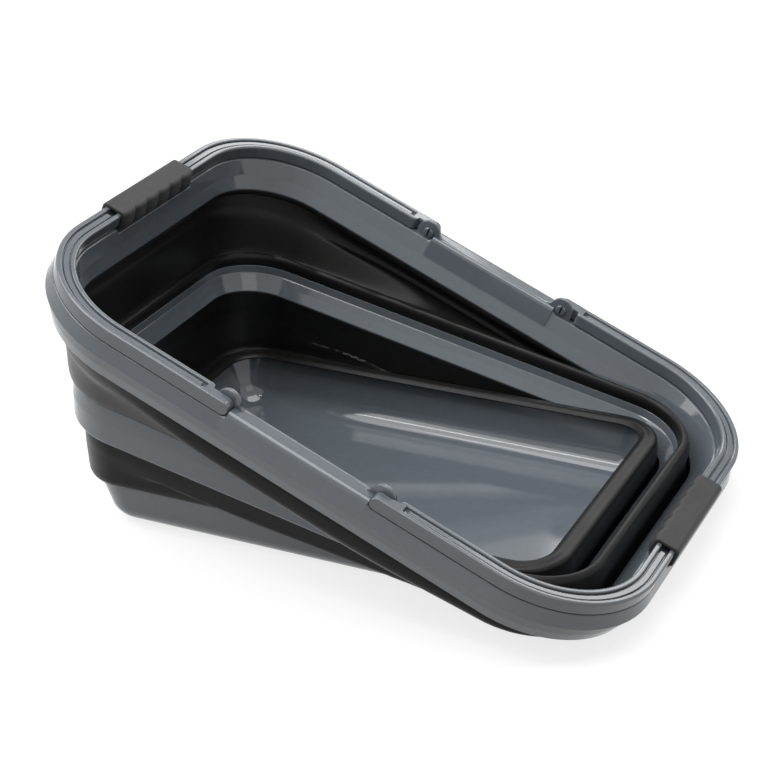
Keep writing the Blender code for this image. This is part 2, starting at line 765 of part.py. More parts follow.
def build_grip(material, name, end):
    """A soft sleeve round both rails, scalloped for the fingers on its inner edge."""
    outward = Vector((end, 0, 0))
    steps = SCALLOPS * 4
    sections = []
    for step in range(steps + 1):
        y = GRIP_LENGTH * (step / steps - 0.5)
        swell = SCALLOP_DEPTH * abs(math.sin(math.pi * SCALLOPS * step / steps))
        station = (Vector((end * CORE_X, y, 0)), outward)
        sections.append([plan_point(station, i, h) for i, h in grip_section(swell)])
    grip = add_object(name, loft_open(sections), material)
    bore_sections = []
    low = HANDLE_DEPTH + FIT_GAP
    for y in (-GRIP_LENGTH, GRIP_LENGTH):
        station = (Vector((end * CORE_X, y, 0)), outward)
        corners = [(-FIT_GAP, FIT_GAP), (HANDLE_WIDTH + FIT_GAP, FIT_GAP)]
        corners += [(HANDLE_WIDTH + FIT_GAP, -low), (-FIT_GAP, -low)]
        bore_sections.append([plan_point(station, i, h) for i, h in corners])
    bore = add_object(name + "_bore", loft_open(bore_sections), material)
    boolean(grip, as_cutter(bore), "DIFFERENCE")
    return grip


# Assembly
def in_metres(frame):
    """The same frame with its place in metres."""
    scaled = frame.copy()
    scaled.translation = frame.translation * MM
    return scaled


def add_axis(name, point, parent):
    """An empty on a joint's axis, hung on the piece or axis that carries it."""
    empty = bpy.data.objects.new(name, None)
    empty.empty_display_size = 0.03
    bpy.context.scene.collection.objects.link(empty)
    place(empty, Matrix.Translation(point), parent)
    return empty


def place(obj, frame, parent=None):
    """Put an object, with whatever cuts or joins it, at this frame and hang it on its parent."""
    bpy.context.view_layer.update()
    world = in_metres(frame)
    if parent:
        obj.parent = parent
        obj.matrix_parent_inverse = parent.matrix_world.inverted()
    obj.matrix_basis = world
    for modifier in obj.modifiers:
        if modifier.type == "BOOLEAN":
            place(modifier.object, frame)


def main():
    """Build every piece and hang it on its joint's axis."""
    clear_scene()
    slate = make_material("slate_plastic", (0.115, 0.132, 0.148), 0.28)
    rubber = make_material("black_rubber", (0.012, 0.012, 0.012), 0.42)
    grip_rubber = make_material("grip_rubber", (0.075, 0.075, 0.075), 0.62)
    level = Matrix.Identity(4)
    axes = {}
    carrier = build_base(slate)
    for name, point in fold_axes().items():
        axes[name] = add_axis(name, point, carrier)
        carrier = axes[name]
    place(build_lower_band(rubber), level, axes["lower_press_axis"])
    place(build_ring(slate), ring_frame(), axes["lower_lift_axis"])
    place(build_upper_band(rubber), level, axes["upper_press_axis"])
    rim = build_rim(slate)
    place(rim, rim_frame(), axes["upper_lift_axis"])
    for name, end in (("left", -1), ("right", 1)):
        pivot = rim_frame() @ Vector((end * PIVOT_X, 0, -PIVOT_DROP))
        pivot_axis = add_axis(f"{name}_handle_axis", pivot, rim)
        place(build_handle(slate, f"{name}_handle", end), rim_frame(), pivot_axis)
        place(build_grip(grip_rubber, f"{name}_grip", end), rim_frame(), pivot_axis)
        for side_name, side in (("near", -1), ("far", 1)):
            pin = build_pin(slate, f"{name}_{side_name}_pin", end, side)
            place(pin, rim_frame(), pivot_axis)


main()
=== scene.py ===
"""Collapsible bucket, half folded, with its finishes, floor, light and camera.

Every moulding follows one family of rounded rectangles around a common core, so a point of a profile
is given by its inset from the handles' outline and its height. Lengths are in millimetres and become
metres where a mesh is made.
"""

import logging
import math
from dataclasses import dataclass
from enum import Enum
from typing import Callable, Iterable, Sequence

import bmesh
import bpy
from mathutils import Matrix, Vector


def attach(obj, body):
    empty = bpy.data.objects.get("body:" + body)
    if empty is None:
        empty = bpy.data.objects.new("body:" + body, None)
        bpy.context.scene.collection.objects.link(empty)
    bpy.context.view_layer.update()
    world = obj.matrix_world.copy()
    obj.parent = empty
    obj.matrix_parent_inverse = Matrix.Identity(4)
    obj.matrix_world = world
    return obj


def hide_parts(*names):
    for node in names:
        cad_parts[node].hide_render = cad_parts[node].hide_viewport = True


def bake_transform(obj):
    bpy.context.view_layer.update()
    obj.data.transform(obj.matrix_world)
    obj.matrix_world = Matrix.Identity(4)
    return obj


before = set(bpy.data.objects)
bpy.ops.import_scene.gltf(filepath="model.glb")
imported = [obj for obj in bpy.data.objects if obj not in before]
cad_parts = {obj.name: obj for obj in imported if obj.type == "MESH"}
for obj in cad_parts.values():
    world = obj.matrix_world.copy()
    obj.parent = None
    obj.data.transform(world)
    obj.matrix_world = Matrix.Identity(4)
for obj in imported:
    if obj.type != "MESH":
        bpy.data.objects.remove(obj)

LOG = logging.getLogger("bucket")
MM = 0.001

Point = tuple[float, float]
Corner = tuple[float, float, float]


class Slot(Enum):
    """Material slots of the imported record."""

    SLATE = "slate_plastic"
    RUBBER = "black_rubber"
    GRIP = "grip_rubber"


Materials = dict[Slot, bpy.types.Material]


class End(Enum):
    """The two ends of the bucket, by the sign of X."""

    LEFT = -1
    RIGHT = 1


class Side(Enum):
    """The two long sides, by the sign of Y."""

    NEAR = -1
    FAR = 1


# Plan and outlines
@dataclass(frozen=True)
class Station:
    """A place around the plan: a core point and the direction that faces out of the bucket."""

    core: Vector
    outward: Vector

    def at(self, inset: float, height: float, radius: float) -> Vector:
        """The point at this inset from the outline whose corner radius is given."""
        return self.core + self.outward * (radius - inset) + Vector((0, 0, height))

    @property
    def along(self) -> Vector:
        """Level direction along the wall."""
        return Vector((-self.outward.y, self.outward.x, 0))


@dataclass(frozen=True)
class Plan:
    """The rounded rectangle that the two handles' outer edges follow, and its offsets."""

    length: float = 440.0
    width: float = 316.0
    corner_radius: float = 80.0
    corner_steps: int = 20

    @property
    def core_x(self) -> float:
        """Half length of the core that the corners turn about."""
        return self.length / 2 - self.corner_radius

    @property
    def core_y(self) -> float:
        """Half width of the core that the corners turn about."""
        return self.width / 2 - self.corner_radius

    def stations(self, breaks_x: Iterable[float] = (), breaks_y: Iterable[float] = ()) -> list[Station]:
        """Places around the plan, from the +X, +Y corner onwards.

        Args:
            breaks_x: extra places along both long sides.
            breaks_y: extra places along both ends.

        Returns:
            The stations in order.
        """
        found: list[Station] = []
        corners = ((1, 1, 0), (-1, 1, 90), (-1, -1, 180), (1, -1, 270))
        for number, (sign_x, sign_y, start) in enumerate(corners):
            centre = Vector((sign_x * self.core_x, sign_y * self.core_y, 0))
            for step in range(self.corner_steps + 1):
                angle = math.radians(start + 90 * step / self.corner_steps)
                found.append(Station(centre, Vector((math.cos(angle), math.sin(angle), 0))))
            on_side = number in (0, 2)
            places = sorted(breaks_x if on_side else breaks_y, reverse=number in (0, 1))
            outward = found[-1].outward
            for value in places:
                core = Vector((value, centre.y, 0)) if on_side else Vector((centre.x, value, 0))
                found.append(Station(core, outward))
        return found

    def point(self, station: Station, inset: float, height: float) -> Vector:
        """The point of this station at an inset from the handles' outline."""
        return station.at(inset, height, self.corner_radius)

    def section(self, station: Station, outline: Iterable[Point]) -> list[Vector]:
        """The points of this station along an outline of insets and heights."""
        return [self.point(station, inset, height) for inset, height in outline]


PLAN = Plan()


def spread(half: float, count: int) -> list[float]:
    """Evenly spaced places between -half and half, without these two ends."""
    return [half * (2 * step / (count + 1) - 1) for step in range(1, count + 1)]


@dataclass(frozen=True)
class Fits:
    """Clearances between pieces."""

    gap: float = 0.3
    seam: float = 0.35
    pin_play: float = 0.3


FITS = Fits()

# Rounded corners of an outline. A rounding reaches LEAST_REACH or more along each edge, but not past
# EDGE_SHARE of it. A point SUPPORT further on, but not past SUPPORT_SHARE of the edge, keeps the flat
# beside it flat. WIDEST_TURN limits the reach where an outline nearly turns back.
LEAST_REACH = 0.12
EDGE_SHARE = 0.42
SUPPORT = 0.22
SUPPORT_SHARE = 0.49
WIDEST_TURN = 2.6


def rounded(corners: Sequence[Corner], steps: int = 4, closed: bool = True) -> list[Point]:
    """Round an outline's corners; the count of points doesn't depend on the radii.

    Args:
        corners: (inset, height, radius) of each corner in order.
        steps: faces in each rounded corner.
        closed: whether the outline runs back to its start.

    Returns:
        The outline's points.
    """
    points: list[Point] = []
    count = len(corners)
    for index, (inset, height, radius) in enumerate(corners):
        here = Vector((inset, height))
        if not closed and index in (0, count - 1):
            points.append((inset, height))
            continue
        before = Vector(corners[index - 1][:2]) - here
        after = Vector(corners[(index + 1) % count][:2]) - here
        turn = math.pi - before.angle(after)
        reach = max(radius * math.tan(min(turn, WIDEST_TURN) / 2), LEAST_REACH)
        sides = []
        for edge in (before, after):
            start = min(reach, EDGE_SHARE * edge.length)
            support = min(start + SUPPORT, SUPPORT_SHARE * edge.length)
            sides.append((here + edge.normalized() * start, here + edge.normalized() * support))
        (first, first_support), (last, last_support) = sides
        points.append(tuple(first_support))
        for step in range(steps + 1):
            share = step / steps
            place = first * (1 - share) ** 2 + here * 2 * share * (1 - share) + last * share**2
            points.append(tuple(place))
        points.append(tuple(last_support))
    return points


def smooth_step(value: float, start: float, end: float) -> float:
    """0 before start, 1 after end, and a smooth rise between them."""
    share = min(max((value - start) / (end - start), 0.0), 1.0)
    return share * share * (3 - 2 * share)


def mix(first: float, second: float, share: float) -> float:
    """The number at this share of the way from first to second."""
    return first + (second - first) * share


# Meshes. An edge is drawn sharp where its faces turn by more than SHARP_ANGLE. Hairline gaps are closed
# up to the width SLIVER, and with up to SLIVER_SIDES sides. KNEE is the share of a plate's rounding
# that its middle step has.
SHARP_ANGLE = math.radians(34.0)
SLIVER = 0.2
SLIVER_SIDES = 4
KNEE = 0.3


def loft(name: str, sections: Sequence[Sequence[Vector]], closed: bool) -> bpy.types.Mesh:
    """Skin a run of closed sections.

    Args:
        name: the mesh's name.
        sections: closed loops with the same number of points, in millimetres.
        closed: whether the run closes on itself; an open run gets a cap on each end.

    Returns:
        The mesh, one closed body whose vertices keep the sections' order.
    """
    around = len(sections[0])
    vertices = [point for section in sections for point in section]
    faces: list[tuple[int, ...]] = []
    last = len(sections) if closed else len(sections) - 1
    for index in range(last):
        here = index * around
        there = ((index + 1) % len(sections)) * around
        for step in range(around):
            ahead = (step + 1) % around
            faces.append((here + step, here + ahead, there + ahead, there + step))
    if not closed:
        faces.append(tuple(reversed(range(around))))
        faces.append(tuple(range(last * around, (last + 1) * around)))
    mesh = bpy.data.meshes.new(name)
    mesh.from_pydata(vertices, [], faces)
    turn_outwards(mesh)
    return mesh


def turn_outwards(mesh: bpy.types.Mesh) -> None:
    """Make every face of a closed mesh point out of it.

    Args:
        mesh: the mesh, which is changed in place.
    """
    bm = bmesh.new()
    bm.from_mesh(mesh)
    bmesh.ops.recalc_face_normals(bm, faces=bm.faces)
    bm.to_mesh(mesh)
    bm.free()


def lathe(name: str, centre: Vector, axis: Vector, profile: Sequence[Point], steps: int) -> bpy.types.Mesh:
    """A solid of revolution.

    Args:
        name: the mesh's name.
        centre: where the profile's distances start.
        axis: the direction that they run in.
        profile: (distance along, radius) pairs.
        steps: faces around it.

    Returns:
        The closed mesh, in millimetres.
    """
    axis = axis.normalized()
    side = axis.orthogonal().normalized()
    across = axis.cross(side)
    sections = []
    for along, radius in profile:
        ring = []
        for step in range(steps):
            angle = 2 * math.pi * step / steps
            spoke = side * math.cos(angle) + across * math.sin(angle)
            ring.append(centre + axis * along + spoke * radius)
        sections.append(ring)
    return loft(name, sections, closed=False)


def linked(name: str, data: bpy.types.ID) -> bpy.types.Object:
    """Make an object and link it into the scene.

    Args:
        name: the object's name.
        data: its mesh, light or camera.

    Returns:
        The object, at the origin.
    """
    made = bpy.data.objects.new(name, data)
    bpy.context.scene.collection.objects.link(made)
    return made


def add_piece(
    name: str, mesh: bpy.types.Mesh, place: Matrix, material: bpy.types.Material
) -> bpy.types.Object:
    """Put a mesh made in millimetres into the scene, with its place in the mesh.

    Args:
        name: the piece's name.
        mesh: its mesh, in the frame of the moulding that it belongs to.
        place: that frame, in millimetres.
        material: its finish.

    Returns:
        The new object, which sits at the origin.
    """
    mesh.transform(Matrix.Scale(MM, 4) @ place)
    mesh.materials.clear()
    mesh.materials.append(material)
    mesh.shade_smooth()
    mesh.set_sharp_from_angle(angle=SHARP_ANGLE)
    return linked(name, mesh)


def baked(helper: bpy.types.Object, name: str) -> bpy.types.Mesh:
    """Turn what a helper's modifiers give into a plain mesh, and remove the helper.

    Args:
        helper: the object with the modifiers.
        name: the new mesh's name.

    Returns:
        The plain mesh.
    """
    graph = bpy.context.evaluated_depsgraph_get()
    mesh = bpy.data.meshes.new_from_object(helper.evaluated_get(graph), depsgraph=graph)
    mesh.name = name
    bpy.data.objects.remove(helper, do_unlink=True)
    return mesh


def combined(mesh: bpy.types.Mesh, others: Sequence[bpy.types.Mesh], operation: str) -> bpy.types.Mesh:
    """Join other closed meshes to this one, or cut them from it.

    Args:
        mesh: the mesh to work on.
        others: the meshes that join or cut.
        operation: UNION or DIFFERENCE.

    Returns:
        The new mesh.
    """
    target = linked("target", mesh)
    helpers = [linked("helper", other) for other in others]
    for helper in helpers:
        modifier = target.modifiers.new("work", "BOOLEAN")
        modifier.operation = operation
        modifier.solver = "EXACT"
        modifier.object = helper
    result = baked(target, mesh.name)
    for helper in helpers:
        bpy.data.objects.remove(helper, do_unlink=True)
    close_slivers(result)
    return result


def close_slivers(mesh: bpy.types.Mesh) -> None:
    """Draw together the hairline gaps that a join can leave between two faces.

    Args:
        mesh: the mesh, which is changed in place.
    """
    bm = bmesh.new()
    bm.from_mesh(mesh)
    loose = [vert for vert in bm.verts if any(edge.is_boundary for edge in vert.link_edges)]
    bmesh.ops.remove_doubles(bm, verts=loose, dist=SLIVER)
    rest = [edge for edge in bm.edges if edge.is_boundary]
    bmesh.ops.holes_fill(bm, edges=rest, sides=SLIVER_SIDES)
    bm.to_mesh(mesh)
    bm.free()


def plate(name: str, outline: Sequence[Point], start: float, end: float, edge: float) -> bpy.types.Mesh:
    """A plate in the XZ plane with softened edges.

    Args:
        name: the mesh's name.
        outline: (x, z) points around it.
        start: Y of its first face.
        end: Y of its other face.
        edge: how far its edges are rounded.

    Returns:
        The closed mesh, in millimetres.
    """
    count = len(outline)
    inward = []
    for index in range(count):
        ahead = Vector(outline[(index + 1) % count]) - Vector(outline[index - 1])
        inward.append(Vector((-ahead.y, ahead.x)).normalized())
    middle = sum((Vector(point) for point in outline), Vector((0, 0))) / count
    if sum(inward[i].dot(middle - Vector(outline[i])) for i in range(count)) < 0:
        inward = [-direction for direction in inward]
    way = 1 if end > start else -1
    rounding = ((0.0, 1.0), (KNEE, KNEE), (1.0, 0.0))
    layers = [(start + way * into * edge, back * edge) for into, back in rounding]
    layers += [(end - way * into * edge, back * edge) for into, back in reversed(rounding)]
    sections = []
    for y, shrink in layers:
        moved = [Vector(point) + inward[i] * shrink for i, point in enumerate(outline)]
        sections.append([Vector((p.x, y, p.y)) for p in moved])
    return loft(name, sections, closed=False)


# Shader node groups
@dataclass(frozen=True)
class Pattern:
    """A noise on object coordinates: its scale per metre, and the range of it that counts.

    The weight is how much the pattern counts beside others. A squeeze draws it out into lines.
    """

    scale: float
    detail: float
    low: float = 0.0
    high: float = 1.0
    weight: float = 1.0
    squeeze: tuple[float, float, float] | None = None


BROAD_PIGMENT = Pattern(scale=9.0, detail=3.0)
FINE_PIGMENT = Pattern(scale=190.0, detail=2.0)
PIGMENT_RANGE = (0.7, 1.3)
SMEARS = Pattern(scale=24.0, detail=4.0, low=0.35, high=0.7, weight=0.7)
RUBBED_LINES = Pattern(scale=60.0, detail=5.0, low=0.5, high=0.75, weight=0.3, squeeze=(1.0, 14.0, 14.0))
FINE_GRAIN = Pattern(scale=2600.0, detail=2.0)
SLOW_RIPPLE = Pattern(scale=26.0, detail=1.0)
BUMP_HEIGHT = 0.00005


def new_group(
    name: str, inputs: dict[str, tuple[str, float]], output: tuple[str, str]
) -> bpy.types.NodeTree:
    """An empty shader node group with its sockets.

    Args:
        name: the group's name.
        inputs: socket type and default by name; a colour's default is a grey.
        output: name and socket type of what it gives.

    Returns:
        The group.
    """
    tree = bpy.data.node_groups.new(name, "ShaderNodeTree")
    for label, (kind, default) in inputs.items():
        socket = tree.interface.new_socket(name=label, in_out="INPUT", socket_type=kind)
        socket.default_value = (default, default, default, 1.0) if kind == "NodeSocketColor" else default
    tree.interface.new_socket(name=output[0], in_out="OUTPUT", socket_type=output[1])
    tree.nodes.new("NodeGroupInput").name = "In"
    tree.nodes.new("NodeGroupOutput").name = "Out"
    return tree


def noise_in(tree: bpy.types.NodeTree, pattern: Pattern) -> bpy.types.NodeSocket:
    """Place a noise texture on object coordinates.

    Args:
        tree: the group that holds it.
        pattern: its scale, detail and squeeze.

    Returns:
        The socket that gives the noise.
    """
    source = tree.nodes.new("ShaderNodeTexCoord").outputs["Object"]
    noise = tree.nodes.new("ShaderNodeTexNoise")
    noise.inputs["Scale"].default_value = pattern.scale
    noise.inputs["Detail"].default_value = pattern.detail
    if pattern.squeeze:
        mapping = tree.nodes.new("ShaderNodeMapping")
        mapping.inputs["Scale"].default_value = pattern.squeeze
        tree.links.new(source, mapping.inputs["Vector"])
        source = mapping.outputs["Vector"]
    tree.links.new(source, noise.inputs["Vector"])
    return noise.outputs["Fac"]


def range_in(
    tree: bpy.types.NodeTree, value: bpy.types.NodeSocket, given: Point, onto: Point
) -> bpy.types.NodeSocket:
    """Place a node that maps one range onto another.

    Args:
        tree: the tree that holds it.
        value: the socket that is mapped.
        given: the range that the value comes in.
        onto: the range that it is brought to.

    Returns:
        The socket that gives the result.
    """
    node = tree.nodes.new("ShaderNodeMapRange")
    labels = ("From Min", "From Max", "To Min", "To Max")
    for label, number in zip(labels, (*given, *onto)):
        node.inputs[label].default_value = number
    tree.links.new(value, node.inputs["Value"])
    return node.outputs["Result"]


def maths_in(
    tree: bpy.types.NodeTree, operation: str, *values: bpy.types.NodeSocket | float
) -> bpy.types.NodeSocket:
    """Place a maths node.

    Args:
        tree: the tree that holds it.
        operation: what it does.
        values: the sockets or numbers that it works on, in order.

    Returns:
        The socket that gives the result.
    """
    node = tree.nodes.new("ShaderNodeMath")
    node.operation = operation
    for entry, value in zip(node.inputs, values):
        if isinstance(value, bpy.types.NodeSocket):
            tree.links.new(value, entry)
        else:
            entry.default_value = value
    return node.outputs[0]


def group_in(
    tree: bpy.types.NodeTree, group: bpy.types.NodeTree, values: dict[str, object]
) -> bpy.types.NodeSocket:
    """Place a shared group with values of its own.

    Args:
        tree: the material's tree.
        group: the shared group.
        values: its inputs by name.

    Returns:
        The socket that gives the group's result.
    """
    node = tree.nodes.new("ShaderNodeGroup")
    node.node_tree = group
    for label, value in values.items():
        node.inputs[label].default_value = value
    return node.outputs[0]


def mottle_group() -> bpy.types.NodeTree:
    """Slow variation of a moulding's colour, as pigment flows in it.

    Returns:
        The group.
    """
    inputs = {"Color": ("NodeSocketColor", 0.2), "Amount": ("NodeSocketFloat", 0.06)}
    tree = new_group("pigment_mottle", inputs, ("Color", "NodeSocketColor"))
    source = tree.nodes["In"]
    both = maths_in(tree, "ADD", noise_in(tree, BROAD_PIGMENT), noise_in(tree, FINE_PIGMENT))
    centred = range_in(tree, both, PIGMENT_RANGE, (-1.0, 1.0))
    value = maths_in(tree, "MULTIPLY_ADD", centred, source.outputs["Amount"], 1.0)
    tint = tree.nodes.new("ShaderNodeHueSaturation")
    tree.links.new(value, tint.inputs["Value"])
    tree.links.new(source.outputs["Color"], tint.inputs["Color"])
    tree.links.new(tint.outputs["Color"], tree.nodes["Out"].inputs["Color"])
    return tree


def rubbing_group() -> bpy.types.NodeTree:
    """Roughness that varies with handling: soft smears and fine rubbed lines.

    Returns:
        The group.
    """
    inputs = {"Smooth": ("NodeSocketFloat", 0.2), "Rough": ("NodeSocketFloat", 0.35)}
    tree = new_group("rubbing", inputs, ("Roughness", "NodeSocketFloat"))
    source = tree.nodes["In"]
    shares = []
    for pattern in (SMEARS, RUBBED_LINES):
        noise = noise_in(tree, pattern)
        shares.append(range_in(tree, noise, (pattern.low, pattern.high), (0.0, pattern.weight)))
    between = tree.nodes.new("ShaderNodeMix")
    between.data_type = "FLOAT"
    tree.links.new(maths_in(tree, "ADD", *shares), between.inputs["Factor"])
    tree.links.new(source.outputs["Smooth"], between.inputs["A"])
    tree.links.new(source.outputs["Rough"], between.inputs["B"])
    tree.links.new(between.outputs["Result"], tree.nodes["Out"].inputs["Roughness"])
    return tree


def grain_group() -> bpy.types.NodeTree:
    """Height of a moulded surface: fine grain over a slow ripple of the sheet.

    Returns:
        The group.
    """
    inputs = {"Grain": ("NodeSocketFloat", 1.0), "Ripple": ("NodeSocketFloat", 1.0)}
    tree = new_group("moulded_grain", inputs, ("Height", "NodeSocketFloat"))
    source = tree.nodes["In"]
    parts = []
    for pattern, label in ((FINE_GRAIN, "Grain"), (SLOW_RIPPLE, "Ripple")):
        parts.append(maths_in(tree, "MULTIPLY", noise_in(tree, pattern), source.outputs[label]))
    tree.links.new(maths_in(tree, "ADD", *parts), tree.nodes["Out"].inputs["Height"])
    return tree


@dataclass(frozen=True)
class SharedEffects:
    """The node groups that every finish uses."""

    mottle: bpy.types.NodeTree
    rubbing: bpy.types.NodeTree
    grain: bpy.types.NodeTree

    @classmethod
    def build(cls) -> "SharedEffects":
        """Build each group once."""
        return cls(mottle_group(), rubbing_group(), grain_group())


@dataclass(frozen=True)
class Finish:
    """A moulded surface: pigment, gloss and grain.

    Smooth and rough are the roughness of a clean and of a rubbed place, and relief is how strongly
    grain and ripple show.
    """

    slot: Slot
    colour: tuple[float, float, float]
    mottle: float
    smooth: float
    rough: float
    grain: float
    ripple: float
    relief: float
    gloss: float = 0.5
    sheen: float = 0.0

    def build(self, effects: SharedEffects) -> bpy.types.Material:
        """Make the material.

        Args:
            effects: the shared node groups.

        Returns:
            The material, on object coordinates.
        """
        material = bpy.data.materials.new(self.slot.value + "_finish")
        material.use_nodes = True
        material.diffuse_color = (*self.colour, 1.0)
        tree = material.node_tree
        shader = tree.nodes["Principled BSDF"]
        shader.inputs["Specular IOR Level"].default_value = self.gloss
        shader.inputs["Sheen Weight"].default_value = self.sheen
        paint = {"Color": (*self.colour, 1.0), "Amount": self.mottle}
        pigment = group_in(tree, effects.mottle, paint)
        rubbed = group_in(tree, effects.rubbing, {"Smooth": self.smooth, "Rough": self.rough})
        height = group_in(tree, effects.grain, {"Grain": self.grain, "Ripple": self.ripple})
        bump = tree.nodes.new("ShaderNodeBump")
        bump.inputs["Strength"].default_value = self.relief
        bump.inputs["Distance"].default_value = BUMP_HEIGHT
        tree.links.new(pigment, shader.inputs["Base Color"])
        tree.links.new(rubbed, shader.inputs["Roughness"])
        tree.links.new(height, bump.inputs["Height"])
        tree.links.new(bump.outputs["Normal"], shader.inputs["Normal"])
        return material


FINISHES = (
    Finish(
        Slot.SLATE, colour=(0.108, 0.125, 0.142), mottle=0.05, smooth=0.05, rough=0.11,
        grain=0.3, ripple=2.0, relief=0.3, gloss=0.6,
    ),
    Finish(
        Slot.RUBBER, colour=(0.009, 0.0088, 0.0085), mottle=0.2, smooth=0.28, rough=0.4,
        grain=2.0, ripple=1.5, relief=0.5, gloss=0.16,
    ),
    Finish(
        Slot.GRIP, colour=(0.034, 0.034, 0.034), mottle=0.12, smooth=0.5, rough=0.65,
        grain=4.0, ripple=1.0, relief=0.8, gloss=0.25, sheen=0.03,
    ),
)


# Folds
@dataclass(frozen=True)
class Fold:
    """Where each stage stands at rest: its -X end drawn out and its +X end folded.

    A moulding's foot stands its folded height above the one below it at the +X end, and higher by its
    travel at the -X end.
    """

    ring_height: float = 28.0
    ring_foot_inset: float = 37.4
    ring_folded: float = 4.6
    ring_travel: float = 76.2
    rim_depth: float = 36.0
    rim_foot_inset: float = 4.5
    rim_folded: float = 4.6
    rim_travel: float = 85.4
    rim_shift: float = 3.9

    @property
    def ring_reach(self) -> float:
        """Half length of the ring at its foot."""
        return PLAN.length / 2 - self.ring_foot_inset

    @property
    def rim_reach(self) -> float:
        """Half length of the rim at its foot."""
        return PLAN.length / 2 - self.rim_foot_inset

    @staticmethod
    def tilted(x: float, z: float, angle: float) -> Matrix:
        """A frame at (x, z), with its +X end turned down by an angle."""
        return Matrix.Translation((x, 0, z)) @ Matrix.Rotation(angle, 4, "Y")

    @property
    def ring_foot(self) -> Matrix:
        """Frame of the ring's lower edge."""
        angle = math.asin(self.ring_travel / 2 / self.ring_reach)
        return self.tilted(0.0, self.ring_folded + self.ring_travel / 2, angle)

    @property
    def ring_top(self) -> Matrix:
        """Frame of the ring's upper edge."""
        return self.ring_foot @ Matrix.Translation((0, 0, self.ring_height))

    @property
    def rim_top(self) -> Matrix:
        """Frame of the handles' top, from which the rim's depths are measured."""
        angle = math.asin(self.rim_travel / 2 / self.rim_reach)
        foot = self.ring_foot @ self.tilted(self.rim_shift, self.rim_folded + self.rim_travel / 2, angle)
        return foot @ Matrix.Translation((0, 0, self.rim_depth))


FOLD = Fold()


# Base tray
@dataclass
class BaseTray:
    """The tray that the bucket stands on."""

    height: float = 36.0
    wall: float = 2.2
    floor: float = 2.4
    rim_inset: float = 49.0
    draft: float = 6.0
    fillet: float = 18.0
    lip_round: float = 0.8
    floor_margin: float = 2.0
    inner_lean: float = 15.0
    outer_lean: float = 10.0
    arc_steps: int = 14
    round_steps: int = 9

    def wall_inset(self, drop: float) -> float:
        """Inset of the tray's outer face at this distance below its top."""
        return self.rim_inset + self.draft * drop / self.height

    def profile(self) -> list[Point]:
        """The tray's section from its inner floor, over the wall, to its underside.

        Returns:
            The outline as (inset, height).
        """
        foot = self.wall_inset(self.height)
        inner_foot = foot + self.wall
        inner = self.arc(inner_foot, self.floor, self.inner_lean)
        outer = self.arc(foot, 0.0, self.outer_lean)
        corners = [
            (*inner[0], 0.0),
            (self.rim_inset + self.wall, self.height, self.lip_round),
            (self.rim_inset, self.height, self.lip_round),
            (*outer[0], 0.0),
        ]
        lip = rounded(corners, self.round_steps, closed=False)[1:-1]
        inner_end = (inner_foot + self.fillet + self.floor_margin, self.floor)
        outer_end = (foot + self.fillet + self.floor_margin, 0.0)
        return [inner_end, *reversed(inner), *lip, *outer, outer_end]

    def arc(self, edge: float, low: float, lean: float) -> list[Point]:
        """The round between the wall and a floor, from the wall down.

        Args:
            edge: the inset that the wall would have at the floor.
            low: the floor's height.
            lean: degrees of the round that the wall's lean takes up.

        Returns:
            The round's points as (inset, height).
        """
        points = []
        for step in range(self.arc_steps + 1):
            angle = math.radians(mix(lean, 90.0, step / self.arc_steps))
            inset = edge + self.fillet * (1 - math.cos(angle))
            points.append((inset, low + self.fillet * (1 - math.sin(angle))))
        return points

    def build(self, materials: Materials) -> list[bpy.types.Object]:
        """Make and dress the tray.

        Args:
            materials: the finishes by slot.

        Returns:
            The tray's piece.
        """
        plan = PLAN.stations()
        sections = [[PLAN.point(s, inset, height) for s in plan] for inset, height in self.profile()]
        mesh = loft("tray", sections, closed=False)
        piece = add_piece("tray", mesh, Matrix.Identity(4), materials[Slot.SLATE])
        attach(piece, "base")
        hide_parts("base_tray")
        return [piece]


BASE = BaseTray()


# Node trees for modifiers
def modifier_tree(name: str, inputs: dict[str, str]) -> tuple[bpy.types.NodeTree, bpy.types.Node]:
    """Start a node tree for a modifier.

    Args:
        name: the tree's name.
        inputs: the kind of each input by name.

    Returns:
        The tree and the node that gives its inputs.
    """
    tree = bpy.data.node_groups.new(name, "GeometryNodeTree")
    for label, kind in inputs.items():
        tree.interface.new_socket(name=label, in_out="INPUT", socket_type="NodeSocket" + kind)
    return tree, tree.nodes.new("NodeGroupInput")


def end_tree(tree: bpy.types.NodeTree, made: bpy.types.NodeSocket, material: bpy.types.Material) -> None:
    """End a modifier's tree: make its copies real, set their finish and give them out.

    Args:
        tree: the tree.
        made: the socket that gives the geometry.
        material: the finish.
    """
    tree.interface.new_socket(name="Geometry", in_out="OUTPUT", socket_type="NodeSocketGeometry")
    realize = tree.nodes.new("GeometryNodeRealizeInstances")
    finish = tree.nodes.new("GeometryNodeSetMaterial")
    finish.inputs["Material"].default_value = material
    target = tree.nodes.new("NodeGroupOutput")
    tree.links.new(made, realize.inputs["Geometry"])
    tree.links.new(realize.outputs["Geometry"], finish.inputs["Geometry"])
    tree.links.new(finish.outputs["Geometry"], target.inputs["Geometry"])


def grown(
    name: str, mesh: bpy.types.Mesh, tree: bpy.types.NodeTree, values: dict[str, object]
) -> bpy.types.Mesh:
    """The plain mesh that a node tree makes of another mesh.

    Args:
        name: the new mesh's name.
        mesh: the mesh that the tree starts from.
        tree: the tree, whose first input is that mesh.
        values: its other inputs by name, set by the sockets' identifiers.

    Returns:
        The mesh, in millimetres.
    """
    helper = linked(mesh.name, mesh)
    modifier = helper.modifiers.new(name, "NODES")
    modifier.node_group = tree
    for item in tree.interface.items_tree:
        if item.item_type == "SOCKET" and item.in_out == "INPUT" and item.name in values:
            modifier[item.identifier] = values[item.name]
    return baked(helper, name)


